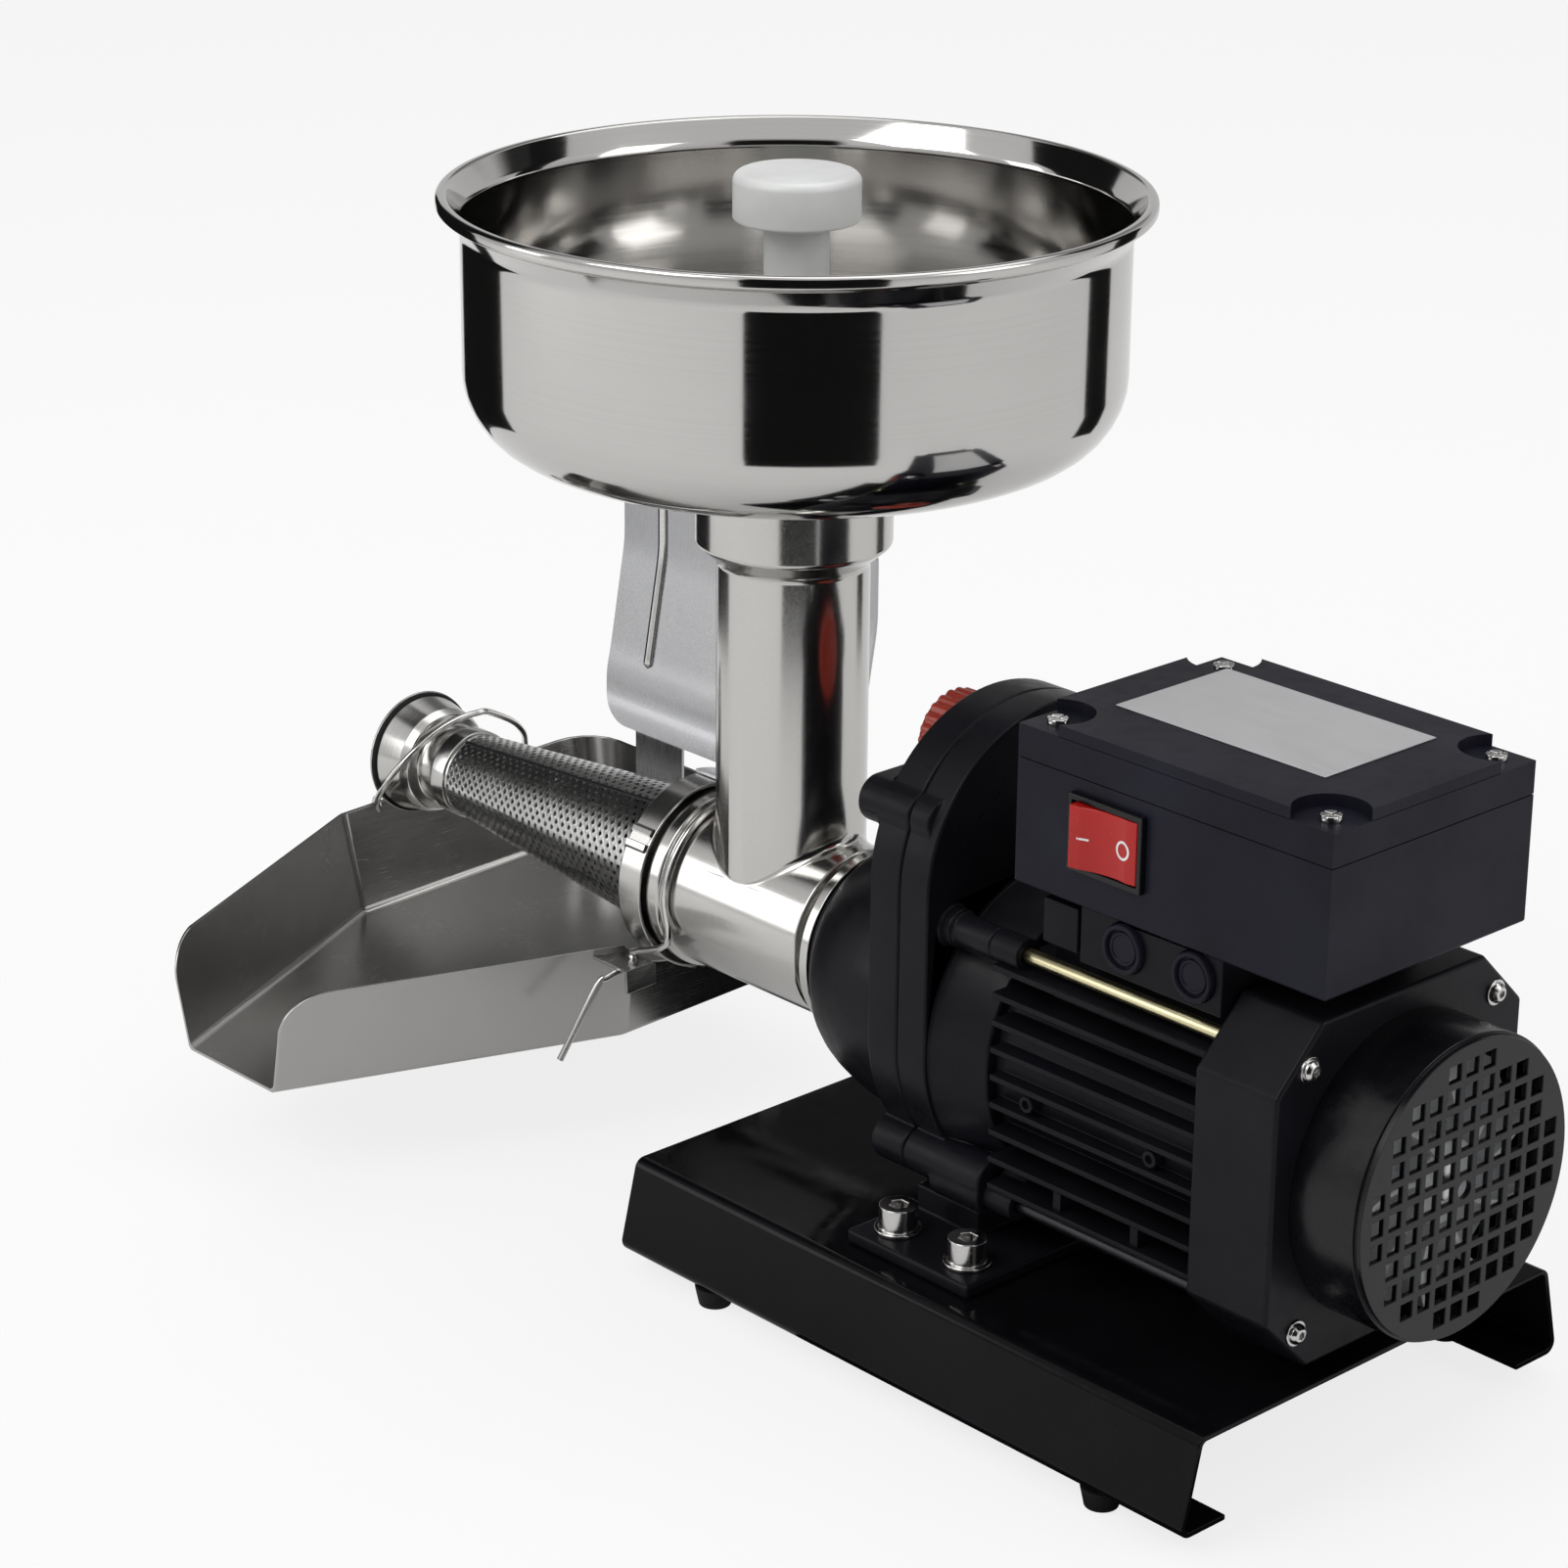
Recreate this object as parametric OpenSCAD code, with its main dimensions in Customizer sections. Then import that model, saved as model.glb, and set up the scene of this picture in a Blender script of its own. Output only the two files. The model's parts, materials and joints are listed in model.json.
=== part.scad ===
// Electric tomato press: a folded steel base carries a finned motor with a gear case,
// and the case carries a press body with its feed hopper, strainer cone and juice chute.
// X runs along the motor towards the fan, Y runs across the base away from the switch,
// and Z is up. The origin lies on the floor under the middle of the base.

/* [Base] */
// Length of the base deck
base_len = 260; // [230:1:300]
// Width of the base deck
base_wid = 170; // [164:1:200]
// Height of the deck above the floor
deck_z = 40; // [34:1:46]
// Thickness of the folded sheet
sheet_t = 2; // [1.5:0.1:2.5]
// How far each side flange leans out at its foot
flange_splay = 6; // [2:0.5:9]
// Width of the lip turned in under each flange
lip_w = 20; // [18:0.5:26]
// Height of a rubber foot
foot_h = 7; // [6:0.5:10]
// Radius of a rubber foot at its lip
foot_r = 7; // [6:0.25:9]
// Distance of a foot from the end of the base
foot_inset = 40; // [20:1:60]

/* [Motor] */
// Height of the motor and press axis above the floor
axis_z = 106; // [104:0.5:110]
// Outer radius of the motor frame tube
frame_r = 45; // [43:0.5:46]
// Wall of the motor frame tube
frame_wall = 4; // [3:0.5:5]
// Length of the motor frame
frame_len = 96; // [90:1:110]
// Distance of the fin tips from the axis
fin_reach = 50; // [48:0.5:54]
// Thickness of a cooling fin
fin_t = 2.2; // [1.6:0.1:3]
// Distance between cooling fins
fin_pitch = 9.6; // [8:0.1:11]
// Number of cooling fins on each side
fin_count = 9; // [5:2:9]
// Half the width of the end bell
bell_half = 58; // [56:0.5:62]
// Size of the cut corners of the end bell
bell_cut = 20; // [14:0.5:22]
// Length of the end bell
bell_len = 33; // [30:0.5:38]
// Distance of each tie bolt from the axis, across and up
bolt_off = 44; // [43:0.25:45]
// Radius of a tie bolt
bolt_r = 2.5; // [2:0.1:3]
// Radius of the motor shaft
shaft_r = 7; // [6:0.25:7.5]

/* [Fan] */
// Outer radius of the fan cover
cover_r = 50; // [46:0.5:52]
// Length of the fan cover
cover_len = 27; // [26:0.5:34]
// Wall of the fan cover
cover_wall = 2; // [1.5:0.1:2.5]
// Width of a square grille hole
grille_hole = 5.6; // [4:0.1:6]
// Distance between grille holes
grille_pitch = 8.2; // [7.6:0.1:9]
// Radius of the round field of grille holes
grille_r = 43; // [36:0.5:44]
// Number of fan blades
blade_count = 7; // [5:1:9]

/* [Gear case] */
// Outer radius of the gear case at both of its round ends
case_r = 55.6; // [54:0.2:58]
// Distance between the two shafts of the gear case
shaft_gap = 44; // [44:0.5:44]
// Height of the case's upper round end above the axis
case_rise = 54; // [50:0.5:58]
// Wall of the gear case
case_wall = 4; // [3:0.5:4.5]
// Thickness of the front cover's flange
cover_flange = 14; // [13:0.5:17]
// Thickness of the rear half's flange
rear_flange = 13; // [12:0.5:16]
// Length of the nose in front of the flange
nose_len = 53; // [52:0.5:60]
// Radius of the nose where it meets the flange
nose_r = 50; // [46:0.5:52]
// Radius of the nose at its tip
tip_r = 34; // [33:0.5:38]
// Outer radius of the round bell between case and motor
waist_r = 49; // [47:0.5:51]
// Radius of a case ear
ear_r = 8; // [7:0.25:8.5]
// Teeth of a pinion
pinion_teeth = 11; // [11:1:11]
// Teeth of a large gear
gear_teeth = 33; // [33:1:33]
// Face width of a gear
gear_face = 8; // [6:0.5:9]

/* [Press body] */
// Outer radius of the press barrel
barrel_r = 31; // [30:0.25:32]
// Wall of the press barrel
barrel_wall = 4; // [3:0.25:4.5]
// Distance from the nose tip to the middle of the feed tube
tube_back = 44; // [40:0.5:50]
// Distance from the feed tube's middle to the barrel's front face
tube_front = 46; // [44:1:54]
// Outer radius of the feed tube
tube_r = 26.4; // [24:0.2:28]
// Wall of the feed tube
tube_wall = 3; // [2:0.25:3.5]
// Height of the feed tube's cup above the axis
cup_rise = 135; // [120:1:150]
// Outer radius of the cup at the top of the feed tube
cup_r = 34; // [33:0.25:36]
// Depth of the cup
cup_h = 31; // [26:0.5:34]
// Pitch of the auger flight
flight_pitch = 36; // [30:1:42]
// Thickness of the auger flight
flight_t = 4; // [3:0.25:6]
// Radius of the auger core
auger_core = 12; // [11:0.5:14]

/* [Strainer] */
// Length of the perforated cone
cone_len = 130; // [116:1:136]
// Outer radius of the cone at its big end
cone_big = 27; // [25:0.25:28.5]
// Outer radius of the cone at its small end
cone_small = 15.5; // [14:0.25:17]
// Sheet thickness of the cone
cone_wall = 1.2; // [1:0.1:1.5]
// Length of the waste nozzle
nozzle_len = 30; // [26:0.5:36]
// Radius of the waste nozzle's flared mouth
flare_r = 23.8; // [21:0.2:26]

/* [Chute] */
// Width of the chute floor under the strainer
chute_wid = 156; // [150:1:162]
// Width of the chute floor at the spout
spout_wid = 51; // [40:1:70]
// Distance from the axis to the fold where the chute starts to narrow
fold_y = 23; // [18:1:30]
// Distance from the axis to the spout's end
spout_y = 143; // [125:1:160]
// Distance from the axis to the chute's rear wall
rear_y = 98; // [85:1:105]
// Height of the chute walls
chute_h = 40; // [36:0.5:42]
// How far the chute walls lean out at the top
chute_lean = 8; // [5:0.5:9]
// Thickness of the chute sheet
chute_t = 1.2; // [1:0.1:1.5]
// Radius of the wire bails
wire_r = 1.25; // [1:0.05:1.5]

/* [Guard] */
// Width of the splash guard
guard_wid = 135; // [110:1:145]
// Thickness of the splash guard
guard_t = 1.2; // [1:0.1:1.5]

/* [Hopper] */
// Outer radius of the hopper's rolled rim
rim_r = 120; // [105:0.5:130]
// Outer radius of the hopper bowl
bowl_r = 112; // [95:0.5:116]
// Height of the bowl
bowl_h = 87; // [72:1:100]
// Radius of the round corner at the bottom of the bowl
bowl_corner = 27; // [20:0.5:32]
// Sheet thickness of the hopper
hopper_t = 1.2; // [1:0.1:1.5]
// Radius of the pusher's head
head_r = 21.5; // [18:0.25:22]
// Height of the pusher's head
head_h = 16; // [12:0.5:20]
// Length of the pusher
pusher_len = 237; // [236:0.5:250]

/* [Terminal box] */
// Length of the terminal box
box_len = 128; // [118:1:134]
// Width of the terminal box
box_wid = 94; // [90:1:98]
// Height of the terminal box below its lid
box_h = 43; // [40:0.5:50]
// Wall of the terminal box
box_wall = 3; // [2.5:0.1:3.5]
// Height of the lid
lid_h = 14; // [12:0.5:16]
// Depth of the recess round each lid screw
recess_h = 4; // [3:0.25:5]
// Radius of the recess round each lid screw
recess_r = 12; // [10:0.5:13]
// Width of the switch bezel
bezel_w = 31; // [30:0.25:36]
// Height of the switch bezel
bezel_h = 25.4; // [25:0.1:31]
// Width of the rocker
rocker_w = 26.4; // [25:0.2:27]
// Height of the rocker
rocker_h = 20.8; // [19:0.2:22]

/* [Hidden] */
$fn = 64;

// Clearances and the overrun of every cut
run_gap = 0.05;
seat_gap = 0.1;
free_gap = 0.3;
cut = 1;

// Stations along the axis
frame_x0 = 2;
frame_x1 = frame_x0 + frame_len;
bell_x1 = frame_x1 + bell_len;
cover_x1 = bell_x1 + cover_len;
waist_len = 22;
case_x1 = frame_x0 - waist_len;
split_x = case_x1 - rear_flange;
case_x0 = split_x - cover_flange;
tip_x = case_x0 - nose_len;
tube_x = tip_x - tube_back;
barrel_x0 = tube_x - tube_front;
top_z = axis_z + case_rise;
counter_z = axis_z + shaft_gap;
cup_z = axis_z + cup_rise;

// Details of the base
lip_z = foot_h;
bend_r = 4;
bend_steps = 6;
foot_taper = 1.5;
foot_top_r = foot_r - foot_taper;
foot_screw_r = 1.5;
foot_screw_hole = 1.7;
foot_head_r = 2.8;
foot_head_h = 2;
foot_pocket_r = 3.2;
foot_pocket_h = 3;
nut_r = 3.1;
nut_h = 2.4;
foot_edge = 1.5;
foot_y = base_wid / 2 - foot_edge;

// Details of the mount bracket
plate_t = 5;
plate_x0 = -36;
plate_x1 = 20;
plate_half = 74;
web_x0 = -32;
web_x1 = -3;
web_half = 46;
web_top = 68;
mount_xs = [-24, 8];
mount_y = 62;
mount_r = 4;
mount_hole = 4.3;
mount_head_r = 6.5;
mount_head_h = 8;
mount_socket_r = 3.4;
mount_socket_h = 4;
mount_washer_r = 8;
mount_washer_t = 1.5;
mount_nut_h = 6;
mount_nut_r = 7;
mount_tip = 1;

// Details of the motor
lug_r = 5.5;
lug_len = 12;
lug_root = 40;
web_in = 0.5;
fin_in = 2;
frame_edge = 1;
pad_x0 = 38;
pad_half = 46;
pad_base = 38;
pad_under = 156;
box_x0 = 10;
box_z0 = 175;
knock_r = 8.1;
knock_xs = [57, 86];
knock_z = 166.5;
knock_t = 1.6;
knock_proud = 0.6;
boss_x0 = 20;
boss_x1 = 35;
boss_half = 44;
boss_z0 = 157;
boss_z1 = 172;
stator_x0 = 22;
stator_len = 56;
stator_bore = 24;
slot_count = 12;
slot_w = 6;
slot_r = 38;
coil_len = 9;
coil_in = 27;
coil_out = 38;
rotor_r = 23.5;
end_ring_r = 20;
end_ring_t = 6;
journal_r = 6;
front_brg_x = -8;
brg_w = 10;
brg_r = 16;
rear_brg_x = 110;
pinion_bore = 5.5;
shaft_x0 = -33;
spigot_r = cover_r - cover_wall - seat_gap;
spigot_len = 6;
bell_wall = 5;
bell_cavity_r = 44;
screw_head_r = 4.6;
screw_head_h = 3;
rod_tip = 12;
fan_x0 = 139;
fan_w = 12;
fan_hub_r = 14;
fan_r = 42;
fan_plate_t = 2;
blade_t = 2;
blade_in = 1.5;
hub_r = 8;
hub_hole_r = 3;
shaft_x1 = fan_x0 + fan_w;

// Details of the gear case
cavity_r = case_r - case_wall;
cavity_front = 3;
floor_t = 5;
upper_ear_z = 184;
ear_rise = 4;
lower_ear_z = axis_z - bolt_off + ear_rise;
ear_over = 10;
ear_low_over = 1;
ear_back = 4;
ear_boss_r = 5.5;
ear_shelf = 14;
lug_head_r = 6.5;
lug_head_len = 5;
lug_web = 3;
waist_root_r = 54;
case_screw_r = 2.5;
case_head_r = 4.4;
case_head_h = 4;
gear_m = 2 * shaft_gap / (pinion_teeth + gear_teeth);
add_share = 0.85;
ded_share = 1.15;
root_share = 0.27;
tip_share = 0.11;
gear_gap = 1;
stage_x = [split_x - gear_gap / 2, split_x - gear_gap * 1.5 - gear_face];
counter_r = 6;
counter_brg_r = 11;
counter_brg_w = 7;
out_r = 10;
out_brg_r = 21;
out_brg_w = 12;
out_brg_space = 2;
out_relief = 6;
counter_end = 1;
nose_drop = 1;
screw_play = 1;
bore_r = 24.1;
socket_len = 18;
nose_bore = 16;
nose_drops = 10;
nose_lip = 5;
drive_half = 6.5;
drive_len = 22;
out_x1 = stage_x[1];
brg_shoulder = 2;
brg_x0 = tip_x + socket_len + brg_shoulder;

// Details of the lock knob
knob_z = 190;
knob_y = 4;
knob_r = 16.5;
knob_t = 11;
knob_teeth = 18;
knob_groove_r = 1.6;
knob_back = 8;
knob_boss_r = 9;
knob_boss_len = 5;
stud_r = 4;
stud_depth = 8;
cap_r = 9;

// Details of the press body
rear_wall = 9;
plug_r = 24;
plug_len = 17;
plug_bore = 12.5;
band_r = 33.4;
band_t = 4;
neck_t = 5;
neck_r = 28;
neck_chamfer = 1;
end_flange_r = 32.6;
end_flange_t = 12;
bush_r = 12.4;
cup_taper = 7;
cup_wall = 3;
barrel_bore = barrel_r - barrel_wall;
flight_gap = 1;
end_play = 1;
auger_in = 0.4;
auger_back = tip_x - rear_wall - end_play;
auger_front = barrel_x0 + auger_in;
flight_inset = 6;

// Details of the strainer
cone_off = 5;
cone_x0 = barrel_x0 - cone_off;
cone_x1 = cone_x0 - cone_len;
strainer_flange_t = 4;
ring_lip = 3;
ring_r = 35;
ring_len = 12;
ring_clear = 1;
ring_chamfer = 1;
ring_x0 = barrel_x0 - strainer_flange_t - ring_lip - seat_gap * 2;
collar_len = 6;
collar_over = 1.5;
screw_gap = 1.4;
screw_core_big = 17;
screw_core_small = 7;
screw_flight_t = 5;
flare_t = 1.6;
throat_r = 13;
neck_wall = 2;
nozzle_step = 2;
nozzle_taper = 4;
nozzle_neck = 12;
cup_wide_share = 0.86;
cup_fall_shares = [0.76, 0.83, 0.86];
shoulder_steps = [0, 1.2, 3.6];
lip_t = 1.4;
lip_turn = 2.8;
lip_root = 4.6;
lip_turn_share = 0.93;
pin_r = 4;

// Details of the chute
chute_x = -285.5;
chute_z = 41.5;
chute_tilt = 2.2;
floor_eps = 0.01;
spout_round = 15;
rear_round = 14;
rear_steps = 5;
tab_w = 14;
tab_y = 30.5;
tab_drop = 4;
tab_out = 12;
tab_in = 8;
tab_h = 8;
tab_wire = 6;
notch_gap = 3;

// Details of the wire bails
bail_off = 4;
bail_x = barrel_x0 + end_flange_t + bail_off;
bail_r = barrel_r + wire_r + free_gap;
bail_steps = 18;
tab_x = chute_x + chute_wid / 2 + chute_lean + tab_wire;
tab_rise = 3.6;
side_y = 31.5;
side_z = 91;
tail_drop = 9;
tail_back = 5;
tail_x = tab_x - tail_back;
tail_y = -60;
tail_z = 46;
arch_off = 9;
arch_x = cone_x1 - arch_off;
arch_y = 10;
arch_z = 76;
arch_z0 = 85;
arch_z1 = 88;
arch_pull = 38;
arch_r = norm([arch_y, axis_z - arch_z]) + throat_r + neck_wall + wire_r + free_gap;
wall_top_x = chute_x - chute_wid / 2 - chute_lean;
hook_y0 = -9;
hook_y1 = 66;
hook_drop = 6;

// Details of the splash guard
guard_off = 24.5;
guard_x = barrel_x0 - guard_off;
guard_neck = 77;
guard_top_z = 236;
guard_bend_z = 200;
guard_y0 = 31;
guard_y1 = 43;
guard_z0 = 132;
guard_corner = 14;
clip_angle_from = 38;
clip_angle_to = 84;
rib_off = 45.5;
rib_w = 3.5;
rib_h = 0.9;
rib_z0 = 156;
rib_z1 = 223;

// Details of the hopper and the pusher
bowl_lift = 4;
bowl_z = cup_z + cup_h + bowl_lift;
roll_r = 2.4;
rim_slope = 6;
rim_dish = 5;
spout_in = cup_r - cup_wall - free_gap;
neck_z = cup_z + cup_wall + seat_gap;
well_r = 27;
pusher_z = axis_z + barrel_bore - flight_gap + free_gap;
stem_r = 11;
plunger_r = 22.6;
plunger_h = 30;
head_round = 3;
head_edge = 1;
plunger_chamfer = 2;
stem_slope = 3;

// Details of the terminal box
box_x1 = box_x0 + box_len;
lid_z = box_z0 + box_h;
top_face = lid_z + lid_h;
gasket_t = 1;
gasket_w = 2;
gasket_in = 0.5;
screw_inset = 8.5;
lid_screw_r = 1.8;
lid_head_r = 3.4;
lid_head_h = 2.2;
lid_slot_half = 0.4;
lid_slot_deep = 1;
lid_screw_play = 1;
post_over = 0.5;
post_r = screw_inset - box_wall + post_over;
post_h = 20;
lid_round = 2;
label_x0 = 26.5;
label_x1 = 112;
label_y0 = -21;
label_y1 = 31;
label_t = 0.4;
switch_x = 49.5;
switch_z = 199.8;
bezel_t = 2.4;
bezel_wall = 2.6;
well_w = 29;
well_h = 23;
well_d = 17;
rocker_tilt = 8;
rocker_round = 30;
rocker_d = 7;
pin_axle_r = 1.5;
rocker_lift = 1.4;
rocker_gap = 0.6;
rocker_out = 2.4;
rocker_trim = 0.4;
axle_in = 1;
cap_inset = 14;
cap_len = 62;
cap_body_r = 14;
block_inset = 32;
block_l = 40;
block_w = 14;
block_h = 12;
block_count = 4;
block_screw_r = 2;
block_screw_h = 2;
gland_x = knock_xs[0];
gland_z = knock_z;
gland_bore = 3.8;
riser_r = 3;
riser_in = 5;
gland_r = 9;
gland_len = 14;
gland_nut_h = 5;
gland_step = 1;
gland_taper = 3;
gland_flats = 6;

// A solid turned about the press axis, from points of radius and X
module turned(points) {
    translate([0, 0, axis_z]) rotate([0, 90, 0]) rotate_extrude() polygon(points);
}

// A rod along X between two stations, at a place across and up
module rod_x(x0, x1, r, y = 0, z = axis_z) {
    translate([x0, y, z]) rotate([0, 90, 0]) cylinder(r = r, h = x1 - x0);
}

// A plate in the YZ plane between two stations
module plate_x(x0, x1) {
    translate([x0, 0, 0]) rotate([90, 0, 90]) linear_extrude(height = x1 - x0) children();
}

// A block between two opposite corners
module block(low, high) {
    translate(low) cube(high - low);
}

// The long outline of the gear case, round at both ends
module case_outline(r) {
    translate([0, axis_z]) circle(r = r);
    translate([0, top_z]) circle(r = r);
    translate([-r, axis_z]) square([2 * r, case_rise]);
}

// The hollow of the gear case between two stations, less the bosses of its upper screws
module case_hollow(x0, x1) {
    difference() {
        plate_x(x0, x1) case_outline(cavity_r);
        for (p = ear_places) if (p[1] > axis_z) rod_x(x0 - cut, x1 + cut, ear_boss_r, p[0], p[1]);
    }
}

// The octagonal outline of the end bell
module bell_outline(half, corner) {
    inner = half - corner;
    translate([0, axis_z]) polygon([[half, inner], [inner, half], [-inner, half], [-half, inner],
        [-half, -inner], [-inner, -half], [inner, -half], [half, -inner]]);
}

// A straight-flanked gear wheel, with one tooth pointing up
module gear(x0, teeth, bore, z) {
    pitch_r = gear_m * teeth / 2;
    tip = pitch_r + gear_m * add_share;
    root = pitch_r - gear_m * ded_share;
    step = 360 / teeth;
    corners = [[root, -root_share], [tip, -tip_share], [tip, tip_share], [root, root_share]];
    translate([x0, 0, z]) rotate([90, 0, 90]) linear_extrude(height = gear_face) difference() {
        polygon([for (i = [0:teeth - 1], c = corners)
            [c[0] * cos(90 + step * (i + c[1])), c[0] * sin(90 + step * (i + c[1]))]]);
        circle(r = bore);
    }
}

// A ring bearing between two stations
module bearing(x0, w, outer, inner, z = axis_z) {
    translate([x0, 0, z]) rotate([0, 90, 0]) difference() {
        cylinder(r = outer, h = w);
        translate([0, 0, -cut]) cylinder(r = inner, h = w + 2 * cut);
    }
}

// A helical flight round the X axis, tapering from one radius to another
module flight(x0, length, r0, r1, pitch, thick) {
    sweep = 360 * thick / pitch;
    turns = length / pitch;
    translate([x0, 0, axis_z]) rotate([0, -90, 0])
        linear_extrude(height = length, twist = -360 * turns, scale = r1 / r0, slices = ceil(turns * 20),
            segments = 4, $fn = 12)
            polygon(concat([[0, 0]], [for (k = [0:2]) [r0 * cos(sweep * k / 2), r0 * sin(sweep * k / 2)]]));
}

// Places of the four tie bolts
tie_places = [for (y = [-bolt_off, bolt_off], z = [axis_z - bolt_off, axis_z + bolt_off]) [y, z]];
// Places of the four screws that join the halves of the gear case
ear_places = [for (y = [-bolt_off, bolt_off], z = [lower_ear_z, upper_ear_z]) [y, z]];
// Where an ear of the gear case starts at the front
function ear_front(p) = case_x0 - (p[1] > axis_z ? ear_over : ear_low_over);
// Places of the four feet
foot_places = [for (x = [-1, 1], y = [-foot_y, foot_y]) [x * (base_len / 2 - foot_inset), y]];
// Places of the four lid screws
lid_places = [for (x = [box_x0 + screw_inset, box_x1 - screw_inset], y = [-1, 1])
    [x, y * (box_wid / 2 - screw_inset)]];

// Half of the base's folded section, from the middle of the deck to the lip
function bend(cy, cz, r, a0, a1) = [for (k = [0:bend_steps])
    let (a = a0 + (a1 - a0) * k / bend_steps) [cy + r * cos(a), cz + r * sin(a)]];
function flip(points) = [for (i = [len(points) - 1:-1:0]) [-points[i][0], points[i][1]]];
lean = atan(flange_splay / (deck_z - lip_z));
half_out = concat(
    bend(base_wid / 2 - bend_r, deck_z - bend_r, bend_r, 90, lean),
    bend(base_wid / 2 + flange_splay - bend_r, lip_z + bend_r, bend_r, lean, -90));
half_in = concat(
    [[base_wid / 2 + flange_splay - lip_w, lip_z], [base_wid / 2 + flange_splay - lip_w, lip_z + sheet_t]],
    bend(base_wid / 2 + flange_splay - bend_r, lip_z + bend_r, bend_r - sheet_t, -90, lean),
    bend(base_wid / 2 - bend_r, deck_z - bend_r, bend_r - sheet_t, lean, 90));

module base_channel() {
    right = concat(half_out, half_in);
    color([0.05, 0.05, 0.06]) difference() {
        plate_x(-base_len / 2, base_len / 2) polygon(concat(right, flip(right)));
        for (x = mount_xs, y = [-mount_y, mount_y])
            translate([x, y, deck_z - sheet_t - cut]) cylinder(r = mount_hole, h = sheet_t + 2 * cut);
        for (p = foot_places)
            translate([p[0], p[1], lip_z - cut]) cylinder(r = foot_screw_hole, h = sheet_t + 2 * cut);
    }
}

module rubber_feet() {
    color([0.08, 0.08, 0.08]) for (p = foot_places) translate([p[0], p[1], 0]) difference() {
        cylinder(r1 = foot_top_r, r2 = foot_r, h = foot_h);
        translate([0, 0, -cut]) cylinder(r = foot_screw_hole, h = foot_h + 2 * cut);
        translate([0, 0, -cut]) cylinder(r = foot_pocket_r, h = foot_pocket_h + cut);
    }
}

module foot_screws() {
    color([0.7, 0.7, 0.7]) for (p = foot_places) translate([p[0], p[1], 0]) {
        translate([0, 0, foot_pocket_h - foot_head_h]) cylinder(r = foot_head_r, h = foot_head_h);
        translate([0, 0, foot_pocket_h]) cylinder(r = foot_screw_r, h = foot_h + sheet_t + nut_h);
        translate([0, 0, foot_h + sheet_t]) cylinder(r = nut_r, h = nut_h, $fn = 6);
    }
}

module mount_bracket() {
    color([0.07, 0.07, 0.08]) difference() {
        union() {
            block([plate_x0, -plate_half, deck_z], [plate_x1, plate_half, deck_z + plate_t]);
            block([web_x0, -web_half, deck_z], [web_x1, web_half, web_top]);
        }
        rod_x(case_x0, case_x1 + seat_gap, case_r + seat_gap);
        rod_x(case_x1, frame_x0, waist_root_r + seat_gap);
        for (y = [-bolt_off, bolt_off], z = [lower_ear_z, axis_z - bolt_off])
            rod_x(case_x0 - cut, frame_x1, ear_r + seat_gap, y, z);
        for (x = mount_xs, y = [-mount_y, mount_y])
            translate([x, y, deck_z - cut]) cylinder(r = mount_hole, h = plate_t + 2 * cut);
    }
}

module mount_bolts() {
    top = deck_z + plate_t;
    color([0.8, 0.8, 0.82]) for (x = mount_xs, y = [-mount_y, mount_y]) translate([x, y, 0]) {
        translate([0, 0, top]) cylinder(r = mount_washer_r, h = mount_washer_t);
        translate([0, 0, top + mount_washer_t]) difference() {
            cylinder(r = mount_head_r, h = mount_head_h);
            translate([0, 0, mount_head_h - mount_socket_h])
                cylinder(r = mount_socket_r, h = mount_socket_h + cut, $fn = 6);
        }
        translate([0, 0, deck_z - sheet_t - mount_nut_h - mount_tip])
            cylinder(r = mount_r, h = plate_t + sheet_t + mount_nut_h + mount_tip);
        translate([0, 0, deck_z - sheet_t - mount_nut_h]) cylinder(r = mount_nut_r, h = mount_nut_h, $fn = 6);
    }
}

// The lugs at the front of the motor frame, each joined to the tube by a rib
module frame_lugs() {
    for (p = tie_places) {
        rod_x(frame_x0, frame_x0 + lug_len, lug_r, p[0], p[1]);
        a = atan2(p[1] - axis_z, p[0]);
        reach = norm([p[0], p[1] - axis_z]);
        translate([frame_x0, 0, axis_z]) rotate([a, 0, 0])
            block([web_in, lug_root, -lug_web], [lug_len - web_in, reach, lug_web]);
    }
}

module motor_frame() {
    inner = frame_r - frame_wall;
    mid = (fin_count - 1) / 2;
    color([0.06, 0.06, 0.07]) difference() {
        union() {
            rod_x(frame_x0, frame_x1, frame_r);
            frame_lugs();
            for (i = [0:fin_count - 1]) {
                z = axis_z + (i - mid) * fin_pitch;
                block([frame_x0 + fin_in, -fin_reach, z - fin_t / 2],
                    [frame_x1 - frame_edge, fin_reach, z + fin_t / 2]);
            }
            block([pad_x0, -pad_half, pad_under], [frame_x1 - frame_edge, pad_half, box_z0]);
            block([pad_x0, -pad_base, axis_z], [frame_x1 - frame_edge, pad_base, box_z0]);
            block([boss_x0, -boss_half, boss_z0], [boss_x1, boss_half, boss_z1]);
            block([boss_x0, -pad_base, axis_z], [pad_x0 + cut, pad_base, boss_z1]);
        }
        rod_x(frame_x0 - cut, frame_x1 + cut, inner);
        for (p = tie_places) rod_x(frame_x0 - cut, frame_x1 + cut, bolt_r + free_gap, p[0], p[1]);
        for (x = knock_xs) translate([x, -pad_half - cut, knock_z]) rotate([-90, 0, 0])
            cylinder(r = knock_r + seat_gap, h = knock_t + cut);
        translate([knock_xs[1], pad_half - knock_t, knock_z]) rotate([-90, 0, 0])
            cylinder(r = knock_r + seat_gap, h = knock_t + cut);
        translate([gland_x, pad_half - gland_len, gland_z]) rotate([-90, 0, 0])
            cylinder(r = gland_bore, h = gland_len + cut);
        translate([gland_x, pad_half - gland_len + riser_in, gland_z]) cylinder(r = riser_r, h = box_z0);
    }
}

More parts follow.
